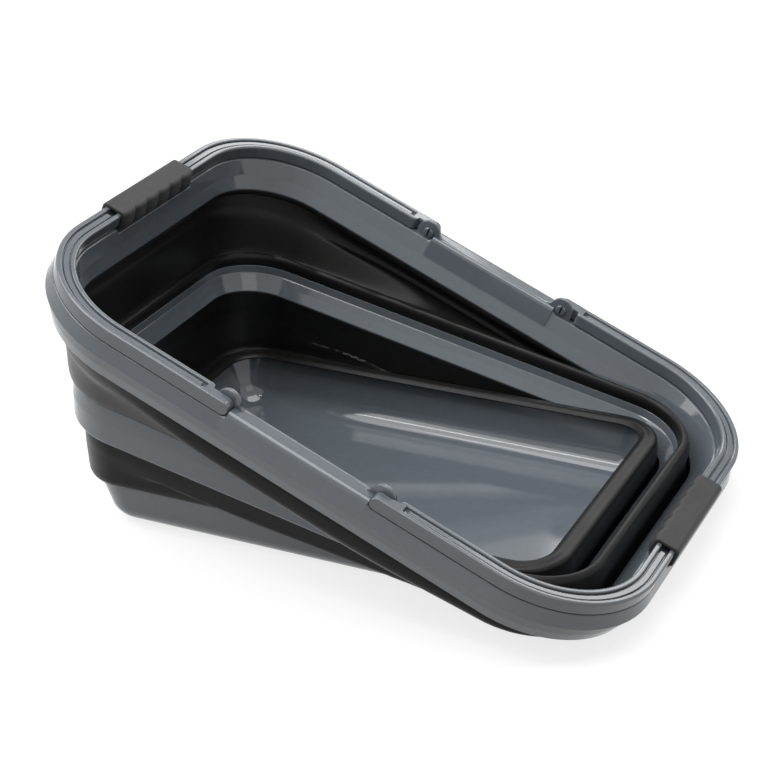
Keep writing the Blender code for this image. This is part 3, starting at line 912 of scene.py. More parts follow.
def sweep_tree(material: bpy.types.Material) -> bpy.types.NodeTree:
    """A node tree that sweeps an outline along a rounded rectangle.

    Args:
        material: the finish that it sets.

    Returns:
        The tree, whose inputs are the outline, Length, Width, Corner Radius and Corner Steps.
    """
    inputs = {"Outline": "Geometry", "Length": "Float", "Width": "Float", "Corner Radius": "Float"}
    tree, source = modifier_tree("plan_sweep", {**inputs, "Corner Steps": "Int"})
    outline = tree.nodes.new("GeometryNodeMeshToCurve")
    rectangle = tree.nodes.new("GeometryNodeCurvePrimitiveQuadrilateral")
    fillet = tree.nodes.new("GeometryNodeFilletCurve")
    fillet.mode = "POLY"
    sweep = tree.nodes.new("GeometryNodeCurveToMesh")
    link = tree.links.new
    link(source.outputs["Outline"], outline.inputs["Mesh"])
    link(source.outputs["Length"], rectangle.inputs["Width"])
    link(source.outputs["Width"], rectangle.inputs["Height"])
    link(rectangle.outputs["Curve"], fillet.inputs["Curve"])
    link(source.outputs["Corner Radius"], fillet.inputs["Radius"])
    link(source.outputs["Corner Steps"], fillet.inputs["Count"])
    link(fillet.outputs["Curve"], sweep.inputs["Curve"])
    link(outline.outputs["Curve"], sweep.inputs["Profile Curve"])
    end_tree(tree, sweep.outputs["Mesh"], material)
    return tree


# Middle ring
@dataclass
class MiddleRing:
    """The rigid hoop between the two rubber bands, swept along the plan."""

    outer_inset: float = 30.5
    outer_wall: float = 1.4
    wall_rise: float = 6.0
    wall_taper: float = 0.2
    top_inset: float = 34.2
    neck_inset: float = 43.4
    neck_drop: float = 17.6
    skirt: float = 2.4
    skirt_inset: float = 36.0
    skirt_drop: float = 26.2
    chamfer_drop: float = 5.4
    chamfer_inset: float = 1.05
    chamfer: float = 0.7
    outer_bow: tuple[Corner, ...] = ((0.27, 0.1, 12.0), (0.66, 1.6, 14.0), (0.9, 2.4, 3.0))
    inner_bow: tuple[Corner, ...] = ((0.8, 2.2, 3.0), (0.3, 1.7, 3.0))
    waist_share: float = 0.45
    waist_drop: float = 0.58
    waist_back_drop: float = 0.64
    waist_extra: float = 0.3

    def profile(self) -> list[Point]:
        """The ring's section, with heights measured from its inner top edge.

        Each point of a bow is a share of the skirt's drop, the inset behind the widest place and the
        rounding there.

        Returns:
            The outline as (inset, height).
        """
        outer, skirt, drop = self.outer_inset, self.skirt, self.skirt_drop
        top, neck = self.top_inset, self.neck_inset
        waist = top + self.waist_share * (neck - top)
        wall_inner = outer + self.outer_wall
        chamfer_inset = top + self.chamfer_inset
        corners = [
            (wall_inner, 0.0, 0.3),
            (wall_inner - self.wall_taper, self.wall_rise, 0.5),
            (outer, self.wall_rise, 0.7),
            *((outer + behind, -share * drop, radius) for share, behind, radius in self.outer_bow),
            (self.skirt_inset, -drop, 0.9),
            (self.skirt_inset + skirt, -drop, 0.5),
            *((outer + behind + skirt, -share * drop, radius) for share, behind, radius in self.inner_bow),
            (waist - skirt - self.waist_extra, -self.waist_back_drop * self.neck_drop, 3.0),
            (neck - skirt, -self.neck_drop, 0.4),
            (neck, -self.neck_drop, 0.6),
            (waist, -self.waist_drop * self.neck_drop, 10.0),
            (chamfer_inset + self.chamfer, -self.chamfer_drop - self.chamfer, 0.4),
            (chamfer_inset, -self.chamfer_drop, 0.35),
            (top, 0.0, 0.5),
        ]
        return rounded(corners)

    def build(self, materials: Materials) -> list[bpy.types.Object]:
        """Make and dress the ring.

        Args:
            materials: the finishes by slot.

        Returns:
            The ring's piece.
        """
        outline = bpy.data.meshes.new("ring_outline")
        points = [(-inset, -height, 0.0) for inset, height in self.profile()]
        edges = [(index, (index + 1) % len(points)) for index in range(len(points))]
        outline.from_pydata(points, edges, [])
        sizes = {"Length": PLAN.length, "Width": PLAN.width, "Corner Radius": PLAN.corner_radius}
        tree = sweep_tree(materials[Slot.SLATE])
        mesh = grown("ring", outline, tree, {**sizes, "Corner Steps": PLAN.corner_steps})
        turn_outwards(mesh)
        piece = add_piece("ring", mesh, FOLD.ring_top, materials[Slot.SLATE])
        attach(piece, "ring")
        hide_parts("middle_ring")
        return [piece]


RING = MiddleRing()


# Handles. A tip and the knob where the inner rail starts are rounded in steps, at these angles.
TIP_ANGLES = (6, 14, 24, 36, 48, 60, 72, 84, 90)
KNOB_ANGLES = (4, 20, 40, 60, 90)
QUARTERS = (0.0, 0.25, 0.5, 0.75, 1.0)
THIRDS = (0.0, 0.33, 0.67, 1.0)
BORE_STEPS = 28


@dataclass
class CarryHandle:
    """A U handle that lies on the rim's ledge: two rails with a lower panel between fine grooves."""

    width: float = 13.0
    depth: float = 9.3
    outer_rail: float = 3.9
    inner_rail: float = 3.7
    groove: float = 0.75
    groove_depth: float = 2.3
    groove_slope: float = 0.3
    groove_round: float = 0.3
    crest_round: float = 0.9
    panel_drop: float = 0.95
    slot_depth: float = 4.2
    slot_lead: float = 5.0
    slot_ramp: float = 0.9
    top_round: float = 1.7
    bottom_round: float = 1.3
    pivot_x: float = 56.5
    tip_width: float = 8.6
    ear_radius: float = 8.8
    rail_end_gap: float = 2.6
    rail_end_step: float = 0.3
    knob: float = 2.2
    channel_end_gap: float = 4.0
    channel_round: float = 1.2
    pocket_length: float = 2.6
    bore_overcut: float = 1.0
    pin_tip_wall: float = 3.2
    pin_radius: float = 2.35

    @property
    def pivot_drop(self) -> float:
        """Depth of the pivots below the handles' top."""
        return self.depth / 2

    @property
    def rail_end(self) -> float:
        """Distance of the inner rail's end from the middle of the bucket."""
        return self.pivot_x + self.ear_radius + self.rail_end_gap

    def section(
        self, width: float, groove: float = 0.0, panel: float = 0.0, half: float | None = None
    ) -> list[Point]:
        """The bar's section.

        Args:
            width: its width from the outer edge inwards.
            groove: depth of the two fine grooves.
            panel: drop of the panel between them.
            half: half its depth, where that isn't the whole bar's.

        Returns:
            The outline as (inset, height).
        """
        half = self.depth / 2 if half is None else half
        top = self.pivot_drop - half
        bottom = self.pivot_drop + half
        squeeze = width / self.width
        shrink = min((bottom - top) / self.depth, 1.0)
        first = self.outer_rail * squeeze
        last = (self.width - self.inner_rail) * squeeze
        fine = self.groove * squeeze
        wall = self.groove_slope * squeeze
        edge = self.groove_round if groove else 0.0
        crest = self.crest_round * min(groove, 1.0)
        corners = [
            (0.0, -top, self.top_round * shrink),
            (first - wall, -top, crest),
            (first, -top - groove, edge),
            (first + fine, -top - groove, edge),
            (first + fine + wall, -top - panel, edge),
            (last - fine - wall, -top - panel, edge),
            (last - fine, -top - groove, edge),
            (last, -top - groove, edge),
            (last + wall, -top, crest),
            (width, -top, self.top_round * shrink),
            (width, -bottom, self.bottom_round * shrink),
            (0.0, -bottom, self.bottom_round * shrink),
        ]
        return rounded(corners)

    def tip_run(self) -> list[tuple[float, list[Point]]]:
        """The straight run from a tip to where the rails and the panel are whole.

        Returns:
            The distance of each place from the middle of the bucket, with the bar's section there.
        """
        run: list[tuple[float, list[Point]]] = []
        radius = self.depth / 2
        for degrees in TIP_ANGLES:
            angle = math.radians(degrees)
            x = self.pivot_x - radius * math.cos(angle)
            run.append((x, self.section(self.tip_width, half=radius * math.sin(angle))))
        run.append((self.rail_end - self.rail_end_step, self.section(self.tip_width)))
        for degrees in KNOB_ANGLES:
            angle = math.radians(degrees)
            x = self.rail_end + self.knob * (1 - math.cos(angle))
            run.append((x, self.section(mix(self.tip_width, self.width, math.sin(angle)))))
        start = self.rail_end + self.channel_end_gap
        for share in QUARTERS:
            angle = share * math.pi / 2
            sunk = self.groove_depth * math.sin(angle)
            x = start + self.channel_round * (1 - math.cos(angle))
            run.append((x, self.section(self.width, sunk, sunk)))
        rise = start + self.pocket_length
        for share in THIRDS:
            panel = mix(self.groove_depth, self.panel_drop, smooth_step(share, 0.0, 1.0))
            run.append((rise + share, self.section(self.width, self.groove_depth, panel)))
        return run

    def grip_run(self, grip_half: float) -> list[tuple[float, list[Point]]]:
        """The run across the end, where the panel stops short of the grip.

        Args:
            grip_half: half the grip's length.

        Returns:
            The Y of each place, with the bar's section there.
        """
        steps = []
        for share in THIRDS:
            eased = smooth_step(share, 0.0, 1.0)
            groove = mix(self.groove_depth, self.slot_depth, eased)
            panel = mix(self.panel_drop, self.slot_depth, eased)
            place = grip_half + self.slot_lead - self.slot_ramp * share
            steps.append((place, self.section(self.width, groove, panel)))
        return [(-y, outline) for y, outline in steps] + list(reversed(steps))

    def run(self, end: End, grip_half: float) -> list[tuple[Station, list[Point]]]:
        """The whole U from its near tip round to its far tip.

        Args:
            end: the end of the bucket that it goes round.
            grip_half: half the grip's length.

        Returns:
            Each station, with the bar's section there.
        """
        sign = end.value
        whole = self.section(self.width, self.groove_depth, self.panel_drop)
        near = []
        for x, section in self.tip_run():
            near.append((Station(Vector((sign * x, -PLAN.core_y, 0)), Vector((0, -1, 0))), section))
        for step in range(PLAN.corner_steps + 1):
            angle = math.pi / 2 * step / PLAN.corner_steps
            outward = Vector((sign * math.sin(angle), -math.cos(angle), 0))
            near.append((Station(Vector((sign * PLAN.core_x, -PLAN.core_y, 0)), outward), whole))
        across = []
        for y, section in self.grip_run(grip_half):
            across.append((Station(Vector((sign * PLAN.core_x, y, 0)), Vector((sign, 0, 0))), section))
        far = []
        for station, section in reversed(near):
            core = Vector((station.core.x, -station.core.y, 0))
            outward = Vector((station.outward.x, -station.outward.y, 0))
            far.append((Station(core, outward), section))
        return near + across + far

    def build(self, end: End, grip_half: float, materials: Materials) -> bpy.types.Object:
        """Make and dress one handle.

        Args:
            end: the end of the bucket that it goes round.
            grip_half: half the grip's length.
            materials: the finishes by slot.

        Returns:
            The handle's piece.
        """
        name = end.name.lower() + "_handle"
        sections = [PLAN.section(station, outline) for station, outline in self.run(end, grip_half)]
        mesh = loft(name + "_bar", sections, closed=False)
        centre = Vector((end.value * self.pivot_x, 0, -self.pivot_drop))
        radius = self.pin_radius + FITS.gap
        start = PLAN.width / 2 - self.tip_width - self.bore_overcut
        profile = [(start, radius), (PLAN.width / 2 - self.pin_tip_wall, radius)]
        bores = [lathe("bore", centre, Vector((0, side.value, 0)), profile, BORE_STEPS) for side in Side]
        mesh = combined(mesh, bores, "DIFFERENCE")
        piece = add_piece(name + "_bar", mesh, FOLD.rim_top, materials[Slot.SLATE])
        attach(piece, name)
        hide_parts(name)
        return piece


HANDLE = CarryHandle()


# Grips. An end is rounded in steps, each a share of the rounding along the grip and inwards.
GRIP_ENDS = ((0.0, 1.0), (0.12, 0.62), (0.35, 0.25), (0.7, 0.06))


@dataclass
class FingerGrip:
    """A soft sleeve round both rails, scalloped for the fingers on its inner edge."""

    length: float = 90.0
    sheet: float = 2.1
    scallops: int = 6
    scallop_depth: float = 2.6
    scallop_power: float = 0.8
    steps_per_scallop: int = 12
    end_round: float = 0.7
    bore_setback: float = 0.2
    finger_height: float = 0.66
    top_lean: float = 0.5
    top_swell: float = 0.35
    bottom_lean: float = 1.0
    bottom_swell: float = 0.7
    corner_steps: int = 8

    @property
    def half(self) -> float:
        """Half the grip's length."""
        return self.length / 2

    def outer(self, swell: float, shrink: float) -> list[Point]:
        """The sleeve's outer section.

        Args:
            swell: how far it stands out between the fingers.
            shrink: how far its end is rounded in.

        Returns:
            The outline as (inset, height).
        """
        side = self.sheet + FITS.gap - shrink
        inner = HANDLE.width + side
        low = -HANDLE.depth - side
        corners = [
            (-side, side, 3.5),
            (inner - self.top_lean + self.top_swell * swell, side, 3.2),
            (inner + swell, -self.finger_height * HANDLE.depth, 5.0),
            (inner - self.bottom_lean + self.bottom_swell * swell, low, 2.8),
            (-side, low, 2.8),
        ]
        return rounded(corners, self.corner_steps)

    def bore(self) -> list[Point]:
        """The sleeve's inner section, round both rails.

        Returns:
            The outline as (inset, height).
        """
        gap = FITS.gap
        inner = HANDLE.width + gap
        low = -HANDLE.depth - gap
        corners = [
            (-gap, gap, 1.6),
            (inner, gap, 1.6),
            (inner, -self.finger_height * HANDLE.depth, 1.0),
            (inner, low, 1.2),
            (-gap, low, 1.2),
        ]
        return rounded(corners, self.corner_steps)

    def build(self, end: End, materials: Materials) -> bpy.types.Object:
        """Make and dress one grip.

        Args:
            end: the end of the bucket that it is on.
            materials: the finishes by slot.

        Returns:
            The grip's piece.
        """
        steps = self.scallops * self.steps_per_scallop
        rounding = []
        for along, inward in GRIP_ENDS:
            rounding.append((self.end_round * along, self.outer(0.0, self.end_round * inward)))
        rings = [(-self.half + along, outline) for along, outline in rounding]
        for step in range(1, steps):
            wave = abs(math.sin(math.pi * self.scallops * step / steps))
            swell = self.scallop_depth * wave**self.scallop_power
            rings.append((self.length * (step / steps - 0.5), self.outer(swell, 0.0)))
        rings += [(self.half - along, outline) for along, outline in reversed(rounding)]
        bore_end = self.half - self.bore_setback
        rings += [(bore_end, self.bore()), (-bore_end, self.bore())]
        sections = []
        for y, outline in rings:
            station = Station(Vector((end.value * PLAN.core_x, y, 0)), Vector((end.value, 0, 0)))
            sections.append(PLAN.section(station, outline))
        name = end.name.lower() + "_grip"
        mesh = loft(name + "_sleeve", sections, closed=True)
        piece = add_piece(name + "_sleeve", mesh, FOLD.rim_top, materials[Slot.GRIP])
        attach(piece, end.name.lower() + "_handle")
        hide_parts(name)
        return piece


GRIP = FingerGrip()


# Rim frame. The sides have extra sections round each handle's tip, at these angles, and in the saddle.
POCKET_ANGLES = (0, 4, 12, 20, 30, 42, 55, 70, 90)
SADDLE_BREAKS = (0.0, -25.0, 25.0)
NOTCH_STEPS = 6
STRAIGHT = 0.9999


@dataclass
class RimFrame:
    """The rim: an inverted channel with a ledge for the handles, two saddles and four ears."""

    sheet: float = 2.2
    throat_inset: float = 14.8
    neck_inset: float = 23.3
    neck_depth: float = 31.0
    skirt_depth: float = 20.2
    skirt_flare: float = 2.9
    skirt_step: float = 2.1
    saddle_depth: float = 5.2
    saddle_round: float = 3.6
    saddle_fade: float = 1.0
    saddle_flange_round: float = 1.1
    saddle_throat_round: float = 0.7
    ledge_lean: float = 0.05
    notch_lean: float = 0.3
    throat_back: float = 0.3
    middle_back: float = 0.4
    middle_drop: float = 1.0
    channel_room: float = 0.4
    skirt_lip: float = 0.5
    foot_share: float = 0.3
    pocket_play: float = 0.6
    pocket_lead: float = 1.24
    notch_margin: float = 2.5
    notch_ramp: float = 0.9
    ear_thickness: float = 3.4
    ear_fillet: float = 5.0
    ear_edge: float = 0.55
    ear_bite: float = 0.06
    ear_root: float = 0.6
    ear_steps: int = 30
    fillet_steps: int = 9

    @property
    def ledge_depth(self) -> float:
        """Depth of the ledge that the handles lie on."""
        return HANDLE.depth + FITS.gap

    @property
    def notch_depth(self) -> float:
        """Depth of the notch under each grip."""
        return HANDLE.depth + GRIP.sheet + 4 * FITS.gap

    @property
    def pocket_radius(self) -> float:
        """Radius of the pocket round a handle's tip."""
        return HANDLE.depth / 2 + self.pocket_play

    def profile(self, top: float, crown: float) -> list[Point]:
        """The rim's section.

        Args:
            top: depth of its flange.
            crown: how far the flange's two edges are rounded over.

        Returns:
            The outline as (inset, height).
        """
        sheet = self.sheet
        depth = FOLD.rim_depth
        foot = FOLD.rim_foot_inset
        slope = (self.neck_inset - self.throat_inset) / (self.neck_depth - self.ledge_depth)
        lean = self.ledge_lean if top < self.ledge_depth else self.notch_lean
        edge = lean * (self.ledge_depth - top)
        throat = self.throat_inset - self.throat_back + slope * max(top - self.ledge_depth, 0.0)
        middle_depth = (self.ledge_depth + self.middle_drop + self.neck_depth) / 2
        middle = (self.throat_inset + self.neck_inset) / 2 - self.middle_back
        under = top + sheet + self.channel_room
        lower = (self.skirt_depth + depth) / 2
        corners = [
            (edge, -top, 1.0 + self.saddle_flange_round * crown),
            (throat, -top, 0.7 + self.saddle_throat_round * crown),
            (middle, -middle_depth, 16.0),
            (self.neck_inset, -self.neck_depth, 0.7),
            (self.neck_inset - sheet, -self.neck_depth, 0.4),
            (middle - sheet, -middle_depth, 14.0),
            (throat - sheet, -under, 1.0),
            (edge + sheet, -under, 1.0),
            (sheet - self.skirt_flare + self.skirt_step, -self.skirt_depth, 0.3),
            (foot * self.foot_share + sheet, -lower, 6.0),
            (foot + sheet, -depth, 0.4),
            (foot, -depth, 0.7),
            (foot * self.foot_share, -lower, 8.0),
            (self.skirt_step - self.skirt_flare, -self.skirt_depth - self.skirt_lip, 0.4),
            (-self.skirt_flare, -self.skirt_depth, 1.3),
        ]
        return rounded(corners)

    def side_section(self, x: float) -> list[Point]:
        """The section on a long side: a saddle in the middle, with a pocket round each handle's tip.

        Args:
            x: the place along the side.

        Returns:
            The outline as (inset, height).
        """
        radius = self.pocket_radius
        offset = abs(x) - HANDLE.pivot_x
        if offset <= -radius:
            return self.profile(self.saddle_depth, self.saddle_round)
        pocket = HANDLE.pivot_drop + math.sqrt(max(radius**2 - min(offset, 0.0) ** 2, 0.0))
        depth = min(max(self.saddle_depth, pocket), self.ledge_depth)
        fade = smooth_step(offset, -radius - self.saddle_fade, -self.saddle_fade)
        crown = self.saddle_round * (1 - fade)
        return self.profile(depth, crown)

    def end_section(self, y: float) -> list[Point]:
        """The section on an end, notched under the grip.

        Args:
            y: the place along the end.

        Returns:
            The outline as (inset, height).
        """
        half = GRIP.half + self.notch_margin
        share = 1 - smooth_step(abs(y), half - self.notch_ramp, half + self.notch_ramp)
        return self.profile(mix(self.ledge_depth, self.notch_depth, share), 0.0)

    def shell(self) -> bpy.types.Mesh:
        """The rim moulding before its ears are joined on.

        Returns:
            The closed mesh, in millimetres.
        """
        offsets = [-self.pocket_lead]
        offsets += [-math.cos(math.radians(degrees)) for degrees in POCKET_ANGLES]
        places = [HANDLE.pivot_x + self.pocket_radius * offset for offset in offsets]
        breaks_x = [*SADDLE_BREAKS, *places, *(-place for place in places)]
        ramp_start = GRIP.half + self.notch_margin - self.notch_ramp
        ramp = [ramp_start + 2 * self.notch_ramp * step / NOTCH_STEPS for step in range(NOTCH_STEPS + 1)]
        breaks_y = [0.0, *ramp, *(-place for place in ramp)]
        sections = []
        for station in PLAN.stations(breaks_x, breaks_y):
            core, outward = station.core, station.outward
            if abs(outward.y) > STRAIGHT and abs(core.x) < PLAN.core_x:
                outline = self.side_section(core.x)
            elif abs(outward.x) > STRAIGHT and abs(core.y) < PLAN.core_y:
                outline = self.end_section(core.y)
            else:
                outline = self.profile(self.ledge_depth, 0.0)
            sections.append(PLAN.section(station, outline))
        return loft("rim", sections, closed=True)

    def ear_outline(self, end: End) -> list[Point]:
        """Outline of an ear about its pin, with a hollow fillet down to the saddle.

        Args:
            end: the end of the bucket whose handle turns in it.

        Returns:
            The outline as (x, height).
        """
        radius = HANDLE.ear_radius
        fillet = self.ear_fillet
        saddle = HANDLE.pivot_drop - self.saddle_depth
        centre_z = saddle + fillet - self.ear_bite
        centre_x = -math.sqrt((radius + fillet) ** 2 - centre_z**2)
        meeting = math.atan2(centre_z, centre_x)
        root = HANDLE.pivot_drop - self.ledge_depth - self.ear_root * self.sheet
        points: list[Point] = []
        for step in range(self.ear_steps + 1):
            angle = meeting * step / self.ear_steps
            points.append((radius * math.cos(angle), radius * math.sin(angle)))
        back = meeting - math.pi
        for step in range(1, self.fillet_steps + 1):
            angle = mix(back, -math.pi / 2, step / self.fillet_steps)
            points.append((centre_x + fillet * math.cos(angle), centre_z + fillet * math.sin(angle)))
        points += [(centre_x, root), (radius, root)]
        return [(end.value * (HANDLE.pivot_x + x), z - HANDLE.pivot_drop) for x, z in points]

    def build(self, materials: Materials) -> list[bpy.types.Object]:
        """Make and dress the rim with its ears.

        Args:
            materials: the finishes by slot.

        Returns:
            The rim's piece.
        """
        ears = []
        bores = []
        inset = HANDLE.tip_width + FITS.gap
        radius = HANDLE.pin_radius + FITS.pin_play
        profile = [(-self.ear_thickness, radius), (self.ear_thickness, radius)]
        for end in End:
            for side in Side:
                start = side.value * (PLAN.width / 2 - inset)
                stop = side.value * (PLAN.width / 2 - inset - self.ear_thickness)
                ears.append(plate("ear", self.ear_outline(end), start, stop, self.ear_edge))
                centre = Vector((end.value * HANDLE.pivot_x, (start + stop) / 2, -HANDLE.pivot_drop))
                bores.append(lathe("bore", centre, Vector((0, 1, 0)), profile, BORE_STEPS))
        mesh = combined(self.shell(), ears, "UNION")
        mesh = combined(mesh, bores, "DIFFERENCE")
        piece = add_piece("rim", mesh, FOLD.rim_top, materials[Slot.SLATE])
        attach(piece, "rim")
        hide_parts("rim_frame")
        return [piece]


RIM = RimFrame()


# Pins. The head's dome is given by the distance from its face and the share of its radius.
PIN_DOME = ((0.0, 0.35), (0.04, 0.6), (0.16, 0.8), (0.4, 0.93), (0.75, 1.0))


@dataclass
class PivotPins:
    """Split snap pins: each head shows inside its ear and its shank sits in the handle's tip."""

    head_radius: float = 4.0
    head_thickness: float = 1.3
    head_edge: float = 0.1
    shank_edge: float = 0.5
    slit: float = 1.2
    slit_depth: float = 5.0
    slit_overcut: float = 1.0
    steps: int = 40

    def pin_mesh(self) -> bpy.types.Mesh:
        """One pin, along +Y from its head.

        Returns:
            The closed mesh, in millimetres.
        """
        radius, head, edge = HANDLE.pin_radius, self.head_radius, self.head_edge
        length = PLAN.width / 2 - HANDLE.pin_tip_wall - FITS.gap - self.head_face
        profile = [
            *((along, share * head) for along, share in PIN_DOME),
            (self.head_thickness - edge, head),
            (self.head_thickness, head - edge),
            (self.head_thickness, radius),
            (length - self.shank_edge, radius),
            (length, radius - self.shank_edge),
        ]
        body = lathe("pin", Vector((0, 0, 0)), Vector((0, 1, 0)), profile, self.steps)
        half = self.slit / 2
        tall = 2 * self.head_radius
        corners = [(-half, -tall), (half, -tall), (half, tall), (-half, tall)]
        cut = [[Vector((x, y, z)) for x, z in corners] for y in (-self.slit_overcut, self.slit_depth)]
        return combined(body, [loft("slit", cut, closed=False)], "DIFFERENCE")

    @property
    def head_face(self) -> float:
        """Distance of the heads' faces from the middle of the bucket."""
        inset = HANDLE.tip_width + FITS.gap + RIM.ear_thickness + FITS.gap
        return PLAN.width / 2 - inset - self.head_thickness

    def tree(self, material: bpy.types.Material) -> bpy.types.NodeTree:
        """A node tree that sets a pin at each of its points, turned by the attribute named turn.

        Args:
            material: the finish that it sets.

        Returns:
            The tree, whose inputs are the points, the Pin and its Size.
        """
        inputs = {"Points": "Geometry", "Pin": "Object", "Size": "Float"}
        tree, source = modifier_tree("pins_on_points", inputs)
        info = tree.nodes.new("GeometryNodeObjectInfo")
        place = tree.nodes.new("GeometryNodeInstanceOnPoints")
        turn = tree.nodes.new("GeometryNodeInputNamedAttribute")
        turn.data_type = "FLOAT_VECTOR"
        turn.inputs["Name"].default_value = "turn"
        link = tree.links.new
        link(source.outputs["Points"], place.inputs["Points"])
        link(source.outputs["Pin"], info.inputs["Object"])
        link(source.outputs["Size"], place.inputs["Scale"])
        link(info.outputs["Geometry"], place.inputs["Instance"])
        link(turn.outputs["Attribute"], place.inputs["Rotation"])
        end_tree(tree, place.outputs["Instances"], material)
        return tree

    def build(self, materials: Materials) -> list[bpy.types.Object]:
        """Make and dress the four pins, two on each handle.

        Args:
            materials: the finishes by slot.

        Returns:
            One piece for each handle.
        """
        pin = linked("pin", self.pin_mesh())
        tree = self.tree(materials[Slot.SLATE])
        pieces = []
        for end in End:
            points = bpy.data.meshes.new("pin_points")
            x, z = end.value * HANDLE.pivot_x, -HANDLE.pivot_drop
            points.from_pydata([(x, side.value * self.head_face, z) for side in Side], [], [])
            turns = points.attributes.new("turn", "FLOAT_VECTOR", "POINT")
            for index, side in enumerate(Side):
                turns.data[index].vector = (0, 0, 0 if side is Side.FAR else math.pi)
            name = end.name.lower()
            mesh = grown(name + "_pins", points, tree, {"Pin": pin, "Size": 1.0})
            piece = add_piece(name + "_pins", mesh, FOLD.rim_top, materials[Slot.SLATE])
            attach(piece, name + "_handle")
            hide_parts(name + "_near_pin", name + "_far_pin")
            pieces.append(piece)
        bpy.data.objects.remove(pin, do_unlink=True)
        return pieces


PINS = PivotPins()


# Rubber bands
class Stage(Enum):
    """The two folding stages."""

    LOWER = "lower"
    UPPER = "upper"


BandPoint = tuple[Stage, float, float]
CAP_PARTS = (0.25, 0.5, 0.75)


@dataclass
class RubberBand:
    """A rubber band between two mouldings, in two halves that meet along a slanting seam.

    Each half's vertices get weights between two bodies: the first half's between the lower moulding and
    the band, the second half's between the band and the upper moulding; build leaves the weights unused
    and binds neither half. The seam lies near the upper moulding where the band is drawn out and near the
    lower one where it is folded. A key is a section of the band and the share drawn out at which it holds;
    halves_at gives the sheet's half thickness at each of its points, and the first half's weights keep
    them with the lower moulding up to the one numbered held.
    """

    stage: Stage
    lower: Matrix
    upper: Matrix
    reach: float
    keys: list[tuple[float, list[BandPoint]]]
    halves_at: list[float]
    bodies: tuple[str, str, str]
    node: str
    held: int = 4
    seam_folded: float = 0.34
    seam_drawn: float = 0.84
    rise: float = 1.25
    edge_inset: float = 27.4
    easing: float = 0.08
    easing_samples: int = 7
    end_bulge: float = 0.84
    knot_steps: int = 9
    first_count: int = 52
    second_count: int = 46
    side_breaks: int = 43
    end_breaks: int = 3

    def share(self, station: Station) -> float:
        """1 where the band is drawn out and 0 where it is folded.

        Args:
            station: the place around the plan.

        Returns:
            The share that it is drawn out.
        """
        place = station.core.x + station.outward.x * (PLAN.corner_radius - self.edge_inset)
        return min(max(0.5 - place / (2 * self.reach), 0.0), 1.0)

    def key_weights(self, share: float) -> list[float]:
        """How much each key section counts, eased from one to the next.

        Args:
            share: how far the band is drawn out.

        Returns:
            The weight of each key section.
        """
        places = [place for place, _ in self.keys]
        weights = [0.0] * len(places)
        samples = self.easing_samples
        for sample in range(samples):
            near = share + self.easing * (2 * sample / (samples - 1) - 1)
            near = min(max(near, places[-1]), places[0])
            for index in range(len(places) - 1):
                high, low = places[index], places[index + 1]
                if low <= near <= high:
                    part = (near - low) / (high - low)
                    weights[index] += part / samples
                    weights[index + 1] += (1 - part) / samples
                    break
        return weights

    def middle(self, station: Station) -> list[Vector]:
        """The middle of the sheet at one place around the plan.

        Args:
            station: the place.

        Returns:
            A smooth run of points, each with the sheet's half thickness as fourth value.
        """
        frames = {Stage.LOWER: self.lower, Stage.UPPER: self.upper}
        knots = [Vector((0, 0, 0, half)) for half in self.halves_at]
        for weight, (_, points) in zip(self.key_weights(self.share(station)), self.keys):
            if weight:
                for index, (stage, inset, height) in enumerate(points):
                    place = frames[stage] @ PLAN.point(station, inset, height)
                    knots[index] += weight * Vector((*place, 0))
        return flowing(knots, self.knot_steps)

    def section(self, run: list[Vector], along: Vector, blunt: tuple[bool, bool]) -> list[Vector]:
        """The sheet's closed section round a run of its middle points.

        Args:
            run: points along the middle of the sheet, each with its half thickness.
            along: level direction along the wall.
            blunt: whether the first and the last end are cut square and not rounded.

        Returns:
            The section's points.
        """
        places = [point.to_3d() for point in run]
        left = []
        right = []
        for index, place in enumerate(places):
            before = places[max(index - 1, 0)]
            after = places[min(index + 1, len(places) - 1)]
            across = along.cross((after - before).normalized()).normalized()
            left.append(place + across * run[index].w)
            right.append(place - across * run[index].w)
        ends = []
        for tip, inner, is_blunt in ((0, 1, blunt[0]), (-1, -2, blunt[1])):
            out = (places[tip] - places[inner]).normalized()
            bulge = 0.0 if is_blunt else self.end_bulge * run[tip].w
            cap = []
            for part in CAP_PARTS:
                rise = bulge * math.sqrt(1 - (2 * part - 1) ** 2)
                cap.append(left[tip].lerp(right[tip], part) + out * rise)
            ends.append(cap)
        return left + ends[1] + list(reversed(right)) + list(reversed(ends[0]))

    def halves(self) -> list[tuple[bpy.types.Mesh, list[float]]]:
        """The two halves' meshes, with how far each vertex moves with the upper of its two bodies.

        Returns:
            Each mesh, in millimetres, with its vertices' weights.
        """
        caps = len(CAP_PARTS)
        breaks_x = spread(PLAN.core_x, self.side_breaks)
        breaks_y = spread(PLAN.core_y, self.end_breaks)
        sections: tuple[list, list] = ([], [])
        weights: tuple[list, list] = ([], [])
        for station in PLAN.stations(breaks_x, breaks_y):
            middle = self.middle(station)
            lengths = measured(middle)
            held = lengths[self.held * self.knot_steps] / lengths[-1]
            seam = mix(self.seam_folded, self.seam_drawn, self.share(station))
            first = [step / (self.first_count - 1) * seam for step in range(self.first_count)]
            second = [mix(seam, 1.0, step / (self.second_count - 1)) for step in range(self.second_count)]
            for half, shares in enumerate((first, second)):
                run = walked(middle, lengths, shares)
                sections[half].append(self.section(run, station.along, (half == 1, half == 0)))
                if half == 0:
                    given = [self.first_weight((share - held) / (seam - held)) for share in shares]
                else:
                    given = [(share - seam) / (1 - seam) for share in shares]
                weights[half].extend(given + [given[-1]] * caps + list(reversed(given)) + [given[0]] * caps)
        meshes = []
        for half in (0, 1):
            mesh = loft(f"{self.stage.value}_band_{half}", sections[half], closed=True)
            meshes.append((mesh, weights[half]))
        return meshes

    def first_weight(self, part: float) -> float:
        """How much a point of the first half moves with the band's own body."""
        part = min(max(part, 0.0), 1.0)
        return 1 - (1 - part) ** self.rise

